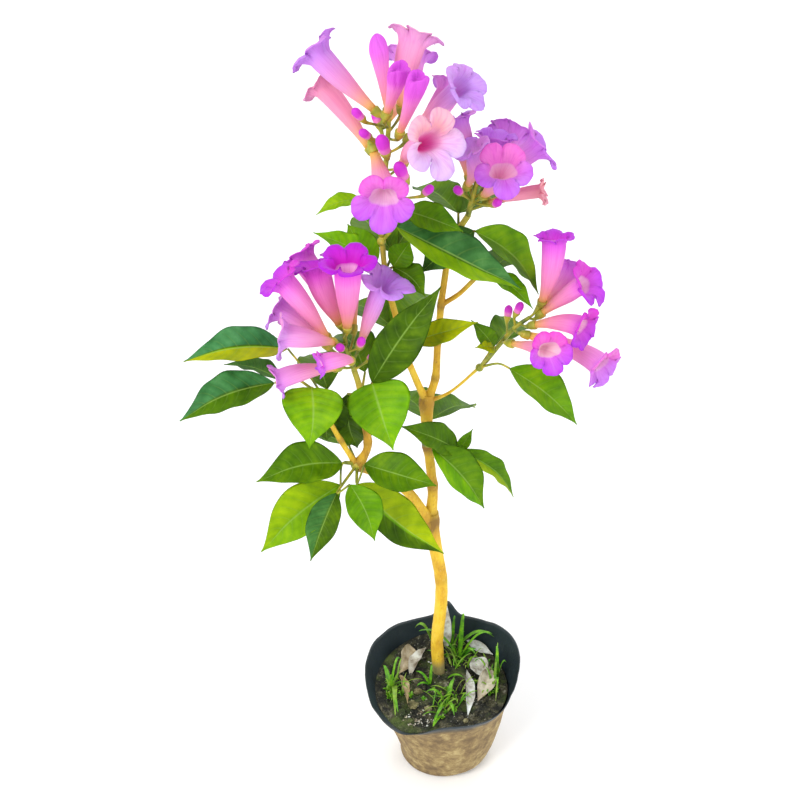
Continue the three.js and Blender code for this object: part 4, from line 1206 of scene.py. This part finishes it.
# %% Nursery bag
BAG_HEIGHT, BAG_MOUTH, FLOPPY_FROM = 117, 80, 84
RIM_TILT, RIM_RIPPLE, RIM_WANDER = 11, 6, 2.2
RIM_HIGH_TURN, RIM_CREST_TURN = radians(60), radians(25)
# The middle and width of each fold of the rim, in degrees, and how far it rises
RIM_FOLDS = [(85, 7, 22), (240, 20, -12)]
# The radius and height of each station up the outside, and how far the bag sags at some heights
BAG_OUTSIDE = [(0.5, 0.0), (18, 0.0), (33, 0.0), (40.5, 0.3), (45, 2.5), (48, 8.0), (50.5, 16), (54, 28),
               (57.6, 42), (61.3, 56), (64.2, 68), (66.8, 79), (69, 87), (71.5, 94), (74, 101), (76.8, 108),
               (79.2, 114), (80, 116.8)]
BAG_SAG = [(0, 0), (9, 6), (50, 5), (86, 1), (117, 0)]
FOOT_STATIONS, BAG_INSIDE_FLOOR = 7, 26
BAG_FILM, BAG_ROUNDS = 0.7, 160
MUD_TOP, MUD_FADE = 111, 9


def rim_height(turn):
    """Height of the floppy rim at a turn, in millimetres."""
    height = BAG_HEIGHT + RIM_TILT * cos(turn - RIM_HIGH_TURN)
    height += RIM_RIPPLE * cos(3 * (turn - RIM_CREST_TURN))
    for middle, width, rise in RIM_FOLDS:
        height += rise * exp(-((degrees(turn) % 360 - middle) / width) ** 2)
    return height


def rim_reach(turn):
    """How far out the floppy rim reaches at a turn, in millimetres."""
    return BAG_MOUTH + RIM_WANDER * sin(2 * turn + 0.8) + 1.2 * sin(5 * turn)


def bag_sag(z):
    """How far the soft bag sags to the right at a height, in millimetres."""
    for (low, near), (high, far) in zip(BAG_SAG, BAG_SAG[1:]):
        if z <= high:
            return near + (far - near) * (z - low) / (high - low)
    return 0.0


def bag_place(radius, z, turn, inset):
    """A point of the bag's wall. The rim's ripples fade out down the side."""
    share = unit((z - FLOPPY_FROM) / (BAG_HEIGHT - FLOPPY_FROM)) ** 1.3
    reach_out = radius + (rim_reach(turn) - BAG_MOUTH) * share - inset
    height = z + (rim_height(turn) - BAG_HEIGHT) * share
    crease = noise.noise(ring_point(turn, 3.2, z / 60))
    fine = noise.noise(ring_point(turn, 9, z / 26))
    reach_out += (1.3 * crease + 0.5 * fine) * unit(z / 10)
    height += 0.9 * noise.noise(ring_point(turn, 6, 4)) * share
    return Vector((cos(turn) * reach_out + bag_sag(z), sin(turn) * reach_out, height)) * MM


# Each station's radius, height, inset and mud
BAG_STATIONS = [(r, z, 0.0, unit((MUD_TOP - z) / MUD_FADE)) for r, z in BAG_OUTSIDE]
BAG_STATIONS += [(r, z, BAG_FILM, 0.0) for r, z in reversed(BAG_OUTSIDE[FOOT_STATIONS:])]
BAG_STATIONS += [(40, BAG_INSIDE_FLOOR, BAG_FILM, 0.0), (0.5, BAG_INSIDE_FLOOR, 0.0, 0.0)]
bag = bmesh.new()
last = len(BAG_STATIONS) - 1


def bag_skin_place(around, along):
    """A station of the bag's skin at a turn."""
    r, z, inset, _ = BAG_STATIONS[round(along * last)]
    return bag_place(r, z, 2 * pi * around, inset)


def mud_at(around, along):
    """How muddy a station of the bag's skin is."""
    return BAG_STATIONS[round(along * last)][3]


wrapped_skin(bag, BAG_ROUNDS, last, bag_skin_place, values={"mud": mud_at})
bag_piece = finished_piece("nursery_bag", bag, [film_finish], "bag_skin")
print("bag:", len(bag_piece.data.polygons), "faces")

# %% [markdown]
# ## Soil
#
# The soil is a low mound round the stem. A wrapped disc follows the same height formula as the solid,
# with finer lumps on top. Crumbs and pale chips are scattered by a seeded draw and sunk partly in. Half
# of the chips lie in one heap at the front, and six larger clods lie beside it. The chips have the litter
# finish, and young makes them tan. The clods have the soil finish, and young makes them earthy.

# %% Soil
SOIL_LEVEL, SOIL_BANK, SOIL_LUMPS, SOIL_CLEAR = 93, 9, 1.6, 1.4
BAG_NECK, NECK_LEVEL, NECK_SAG = 69, 86, 1
SOIL_FOOT, FOOT_LEVEL, FOOT_SAG = 48, 20, 5
WALL_SHARE, EDGE_BAND = 0.1, 0.2
SOIL_ROUNDS, SOIL_RINGS = 150, 60


def soil_height(x, y):
    """Height of the soil at a place, in millimetres."""
    bank = SOIL_BANK * max(0.0, y / BAG_NECK) ** 2
    lumps = sin(x / 9 + 1) * cos(y / 8) + 0.5 * sin((x + y) / 5)
    clods = 1.5 * noise.noise(Vector((x / 7, y / 7, 0))) + 1.0 * noise.noise(Vector((x / 3, y / 3, 5)))
    return SOIL_LEVEL + bank + SOIL_LUMPS * lumps + clods


def step_off(place, turn, reach_out):
    """The place on the soil at a turn and a reach from another place."""
    return place[0] + reach_out * cos(turn), place[1] + reach_out * sin(turn)


def soil_edge(turn):
    """Reach and height of the soil's edge, which lies against the flaring film."""
    out, rise = rim_reach(turn) - BAG_NECK, rim_height(turn) - NECK_LEVEL
    slope = hypot(out, rise)
    lift = SOIL_CLEAR * out / slope
    level = SOIL_LEVEL + SOIL_BANK * max(0.0, sin(turn)) ** 2
    share = max(0.0, min(0.8, (level - lift - NECK_LEVEL) / rise))
    return BAG_NECK + share * out - SOIL_CLEAR * rise / slope, NECK_LEVEL + share * rise + lift


def soil_place(around, along):
    """The soil's skin: a wall up its side, then rings towards the middle."""
    turn = 2 * pi * around
    edge_reach, edge_height = soil_edge(turn)
    if along < WALL_SHARE:
        share = along / WALL_SHARE
        corners = [(SOIL_FOOT, FOOT_LEVEL, FOOT_SAG), (BAG_NECK - 3, NECK_LEVEL, NECK_SAG),
                   (edge_reach, edge_height, 0)]
        k = 0 if share < 0.5 else 1
        reach_out, height, sag = (a + (b - a) * (2 * share - k) for a, b in zip(corners[k], corners[k + 1]))
        return Vector((cos(turn) * reach_out + sag, sin(turn) * reach_out, height)) * MM
    share = (1 - along) / (1 - WALL_SHARE)
    reach_out = max(0.3, edge_reach * share)
    x, y = step_off((0, 0), turn, reach_out)
    near_edge = max(0.0, (share - (1 - EDGE_BAND)) / EDGE_BAND) ** 1.5
    return Vector((x, y, soil_height(x, y) * (1 - near_edge) + (edge_height + 0.5) * near_edge)) * MM


soil = bmesh.new()
wrapped_skin(soil, SOIL_ROUNDS, SOIL_RINGS, soil_place)
tan_layer = soil.verts.layers.float.new("young")
print("soil rings:", SOIL_RINGS)

# %% Crumbs, chips and clods
CRUMBS, BIG_CRUMB_EVERY, CRUMB_FIELD, CRUMB_BULGE, CRUMB_FLAT = 620, 14, 0.9, 0.25, 0.75
CHIPS, CHIP_FIELD, CHIP_HEAP, HEAP_SPREAD = 110, 54, (-24, -47), (18, 11)
BULGE, FINE_BULGE = 0.5, 0.22
# The place of each clod and its size
CLODS = [(-30, -30, 5.2), (-15, -34, 3.8), (-25, -8, 4.2), (-1, -12, 3.6), (8, -30, 3.0), (24, -50, 2.8)]

chance = random.Random(5)
for i in range(CRUMBS):
    turn = chance.uniform(0, 2 * pi)
    reach_out = CRUMB_FIELD * soil_edge(turn)[0] * sqrt(chance.random())
    x, y = step_off((0, 0), turn, reach_out)
    size = chance.uniform(0.6, 2.4) if i % BIG_CRUMB_EVERY else chance.uniform(2.5, 4.2)
    crumb = bmesh.ops.create_icosphere(soil, subdivisions=1, radius=size * MM)["verts"]
    for vert in crumb:
        vert.co *= 1 + CRUMB_BULGE * noise.noise(vert.co / MM + Vector((i, 0, 0)))
        vert.co.z *= CRUMB_FLAT
    bmesh.ops.translate(soil, verts=crumb, vec=Vector((x, y, soil_height(x, y) + size * 0.2)) * MM)


def lump(x, y, size, long, flat, tan, fineness=1, finish=1):
    """A pale chip or an earthy clod, lying on the soil at a random turn."""
    shape = bmesh.ops.create_icosphere(soil, subdivisions=fineness, radius=size * MM)["verts"]
    turn = chance.uniform(0, pi)
    offset = Vector((chance.uniform(0, 50), 0, 0))
    for vert in shape:
        direction = vert.co / MM / size
        bulge = BULGE * noise.noise(direction * 1.4 + offset)
        bulge += FINE_BULGE * noise.noise(direction * 4 + offset)
        vert.co *= 1 + bulge
        vert.co = Vector((vert.co.x * long, vert.co.y / long, vert.co.z * flat))
        vert[tan_layer] = tan
    for face in faces_of(shape):
        face.material_index = finish
    bmesh.ops.rotate(soil, verts=shape, cent=(0, 0, 0), matrix=Matrix.Rotation(turn, 3, "Z"))
    bmesh.ops.translate(soil, verts=shape, vec=Vector((x, y, soil_height(x, y) + size * flat * 0.4)) * MM)


for i in range(CHIPS):
    turn = chance.uniform(0, 2 * pi)
    share = chance.uniform(0, 1)
    x, y = step_off((0, 0), turn, CHIP_FIELD * sqrt(share))
    if i % 2:
        x = CHIP_HEAP[0] + HEAP_SPREAD[0] * share * cos(turn)
        y = CHIP_HEAP[1] + HEAP_SPREAD[1] * share * sin(turn)
    lump(x, y, chance.uniform(0.5, 1.3), chance.uniform(1.0, 1.7), 0.5, chance.uniform(0, 0.8))
for x, y, size in CLODS:
    lump(x, y, size, 1.1, 0.6, 1.0, fineness=3, finish=0)
soil_piece = finished_piece("soil", soil, [soil_finish, litter_finish])
print("soil:", len(soil_piece.data.polygons), "faces")

# %% [markdown]
# ## Grass, weeds and dead leaves
#
# Bright grass and small seedlings grow through the soil, and old leaves lie on it. A grass blade is
# narrow and arches over. Each tuft has its root, the width and the tips of its tall blades, as the
# solids have them, and then some stray blades: foot, tip, width, young value, and how far each rises over
# its ends. A seedling has four tiny leaves. The dead leaves are leaflets with a strong curl and crumple.

# %% Grass and weeds
WEEDS = {
    "grass_tuft_back": (
        (20, 38), 6.4, [(54, 38, 133), (24, 50, 150), (-24, 40, 135), (36, 20, 120)], [
            ((17, 50), (57, 48, 118), 7.5, 0.15, 22), ((-8, 54), (-28, 58, 122), 7.5, 0.25, 22),
            ((12, 52), (15, 60, 138), 4.5, 0.1, 4), ((22, 38), (38, 40, 108), 7, 0, 4),
            ((12, 48), (25, 52, 122), 4, 0.1, 6)]),
    "grass_tuft_right": (
        (59, 8), 4.6, [(58, 22, 130), (58, -16, 108), (68, 8, 120)], [
            ((56, 0), (60, 32, 126), 3.2, 0.3, 8), ((60, 4), (56, -26, 98), 3.6, 0.5, 20)]),
    "grass_tuft_left": (
        (-54, -8), 6.4, [(-44, -4, 138), (-46, -44, 100), (-62, 14, 110)], [
            ((-50, 2), (-49, -46, 97), 7.5, 0.4, 18), ((-48, 4), (-42, 20, 115), 2.5, 0.3, 4)]),
    "grass_tuft_front": (
        (5, -24), 6, [(-9, -57, 98), (14, -6, 110), (-17, -26, 111), (12, -52, 104)], [
            ((-1, -38), (-10, -62, 98), 9, 0, 3), ((5, 11), (25, 6, 98), 4.5, 0.1, 10),
            ((-12, 4), (-27, 12, 103), 5, 0, 5), ((-12, 4), (-10, 13, 112), 4, 0.1, 3),
            ((-12, 2), (-26, -5, 99), 5, 0, 5), ((-10, 0), (-7, -16, 98), 4.5, 0.2, 5)]),
}
LOW_BLADES, SEEDLINGS, SEEDLING_LEAVES = 26, 11, 4
BLADE_SUNK, BLADE_FILM, BLADE_POINT, BLADE_ROUNDS, BLADE_STEPS = 2, 0.35, 0.12, 8, 14
ROOTS_WITHIN, BLADES_WITHIN, SEEDLINGS_WITHIN, ROOT_SPREAD = 54, 60, 58, 15


def grass_blade(mesh, root, tip, width, young, over_by=5):
    """A narrow blade that rises, bends over and ends in a point."""
    start = Vector((*root, soil_height(*root) - BLADE_SUNK))
    end = Vector(tip)
    over = start.lerp(end, 0.5)
    over.z = max(start.z, end.z) + over_by
    flat = Vector((end.x - start.x, end.y - start.y, 0)).normalized().cross(Vector((0, 0, 1)))

    def place(around, along):
        across, below = across_of(around)
        point = start * (1 - along) ** 2 + over * (2 * along * (1 - along)) + end * along ** 2
        half = max(BLADE_POINT, width / 2 * (1 - along) ** 0.6 * min(1, 0.4 + along * 3))
        drop = Vector((0, 0, -BLADE_FILM if below else 0))
        return (point + flat * (across * half) + Vector((0, 0, abs(across) * half * 0.4)) + drop) * MM

    wrapped_skin(mesh, BLADE_ROUNDS, BLADE_STEPS, place, values={"young": young})


def inside_bag(place, limit):
    """A place moved in, if it lies farther out than the limit."""
    over_edge = max(1.0, hypot(*place) / limit)
    return place[0] / over_edge, place[1] / over_edge


for k, (tuft_name, (root, tall_width, tips, strays)) in enumerate(WEEDS.items()):
    tuft = bmesh.new()
    chance = random.Random(40 + k)
    for tip in tips:
        grass_blade(tuft, root, tip, tall_width, 0.1, 12)
    for stray in strays:
        grass_blade(tuft, *stray)
    for _ in range(LOW_BLADES):
        turn = chance.uniform(0, 2 * pi)
        reach_out = chance.uniform(6, 24)
        near = [part + chance.uniform(-ROOT_SPREAD, ROOT_SPREAD) for part in root]
        near = inside_bag(near, ROOTS_WITHIN)
        x, y = inside_bag(step_off(near, turn, reach_out), BLADES_WITHIN)
        tip = (x, y, soil_height(x, y) + chance.uniform(3, 15))
        grass_blade(tuft, near, tip, chance.uniform(1.0, 3.6), chance.uniform(0, 0.6))
    for _ in range(SEEDLINGS):
        turn = chance.uniform(0, 2 * pi)
        reach_out = chance.uniform(4, 26)
        x, y = inside_bag(step_off(root, turn, reach_out), SEEDLINGS_WITHIN)
        top = soil_height(x, y) + chance.uniform(2, 6)
        for j in range(SEEDLING_LEAVES):
            out = turn + j * 2 * pi / SEEDLING_LEAVES
            reach_out = chance.uniform(2.5, 4.5)
            tip = (*step_off((x, y), out, reach_out), top)
            grass_blade(tuft, (x, y), tip, reach_out * 0.9, chance.uniform(0, 0.3), 2)
    finished_piece(tuft_name, tuft, [grass_finish])
print("tufts:", len(WEEDS))

# %% Dead leaves
# Each is a leaflet's foot, tip, width, arch, look, young value, and where it is broadest
LITTER = {
    "dead_leaf_left": [((-34, 54, 108), (-45, 16, 101), 22, 5, 0.6, -0.6, 0.8, 0.5),
                       ((-44, 12, 104), (-36, -26, 99), 9, 4, 0.5, -0.3, 1.0, 0.4)],
    "dead_leaf_pale": [((-16, 48, 110), (-34, 10, 101), 13, 4, -0.6, -0.5, 0.25, 0.5)],
    "dead_leaf_right": [((52, 22, 105), (37, -24, 99), 19, 3, 0.1, -0.6, 0.6, 0.5),
                        ((34, 34, 105), (48, 6, 101), 20, 3, -0.1, -0.5, 0.0, 0.5),
                        ((28, 60, 106), (56, 40, 104), 11, 2, 0.2, -0.9, 0.0, 0.5)],
    "dead_leaf_curled": [((27, 18, 105), (26, -46, 99), 11, 5, 0.4, 0.1, 0.0, 0.5)],
    "dead_leaf_upright": [((6, 50, 98), (5, 57, 162), 10, 3, 0.4, -1.5, 0.0, 0.42)],
}
CRUMPLE = 1.1

for k, (leaf_name, blades) in enumerate(LITTER.items()):
    dry = bmesh.new()
    for j, (*blade, broadest) in enumerate(blades):
        leaflet(dry, blade, 70 + 10 * k + j, broadest, thickness=0.7, ripple=1.8, fold=0.3, curl=0.35)
        if j == 0:
            lying = list(dry.verts)
    for vert in dry.verts:
        vert.co.z += CRUMPLE * MM * noise.noise(vert.co / MM / 6 + Vector((k, 0, 0)))
    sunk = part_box(leaf_name)[0].z - min(vert.co.z for vert in lying)
    bmesh.ops.translate(dry, verts=dry.verts, vec=(0, 0, sunk))
    finished_piece(leaf_name, dry, [litter_finish])
print("dead leaves:", len(LITTER))
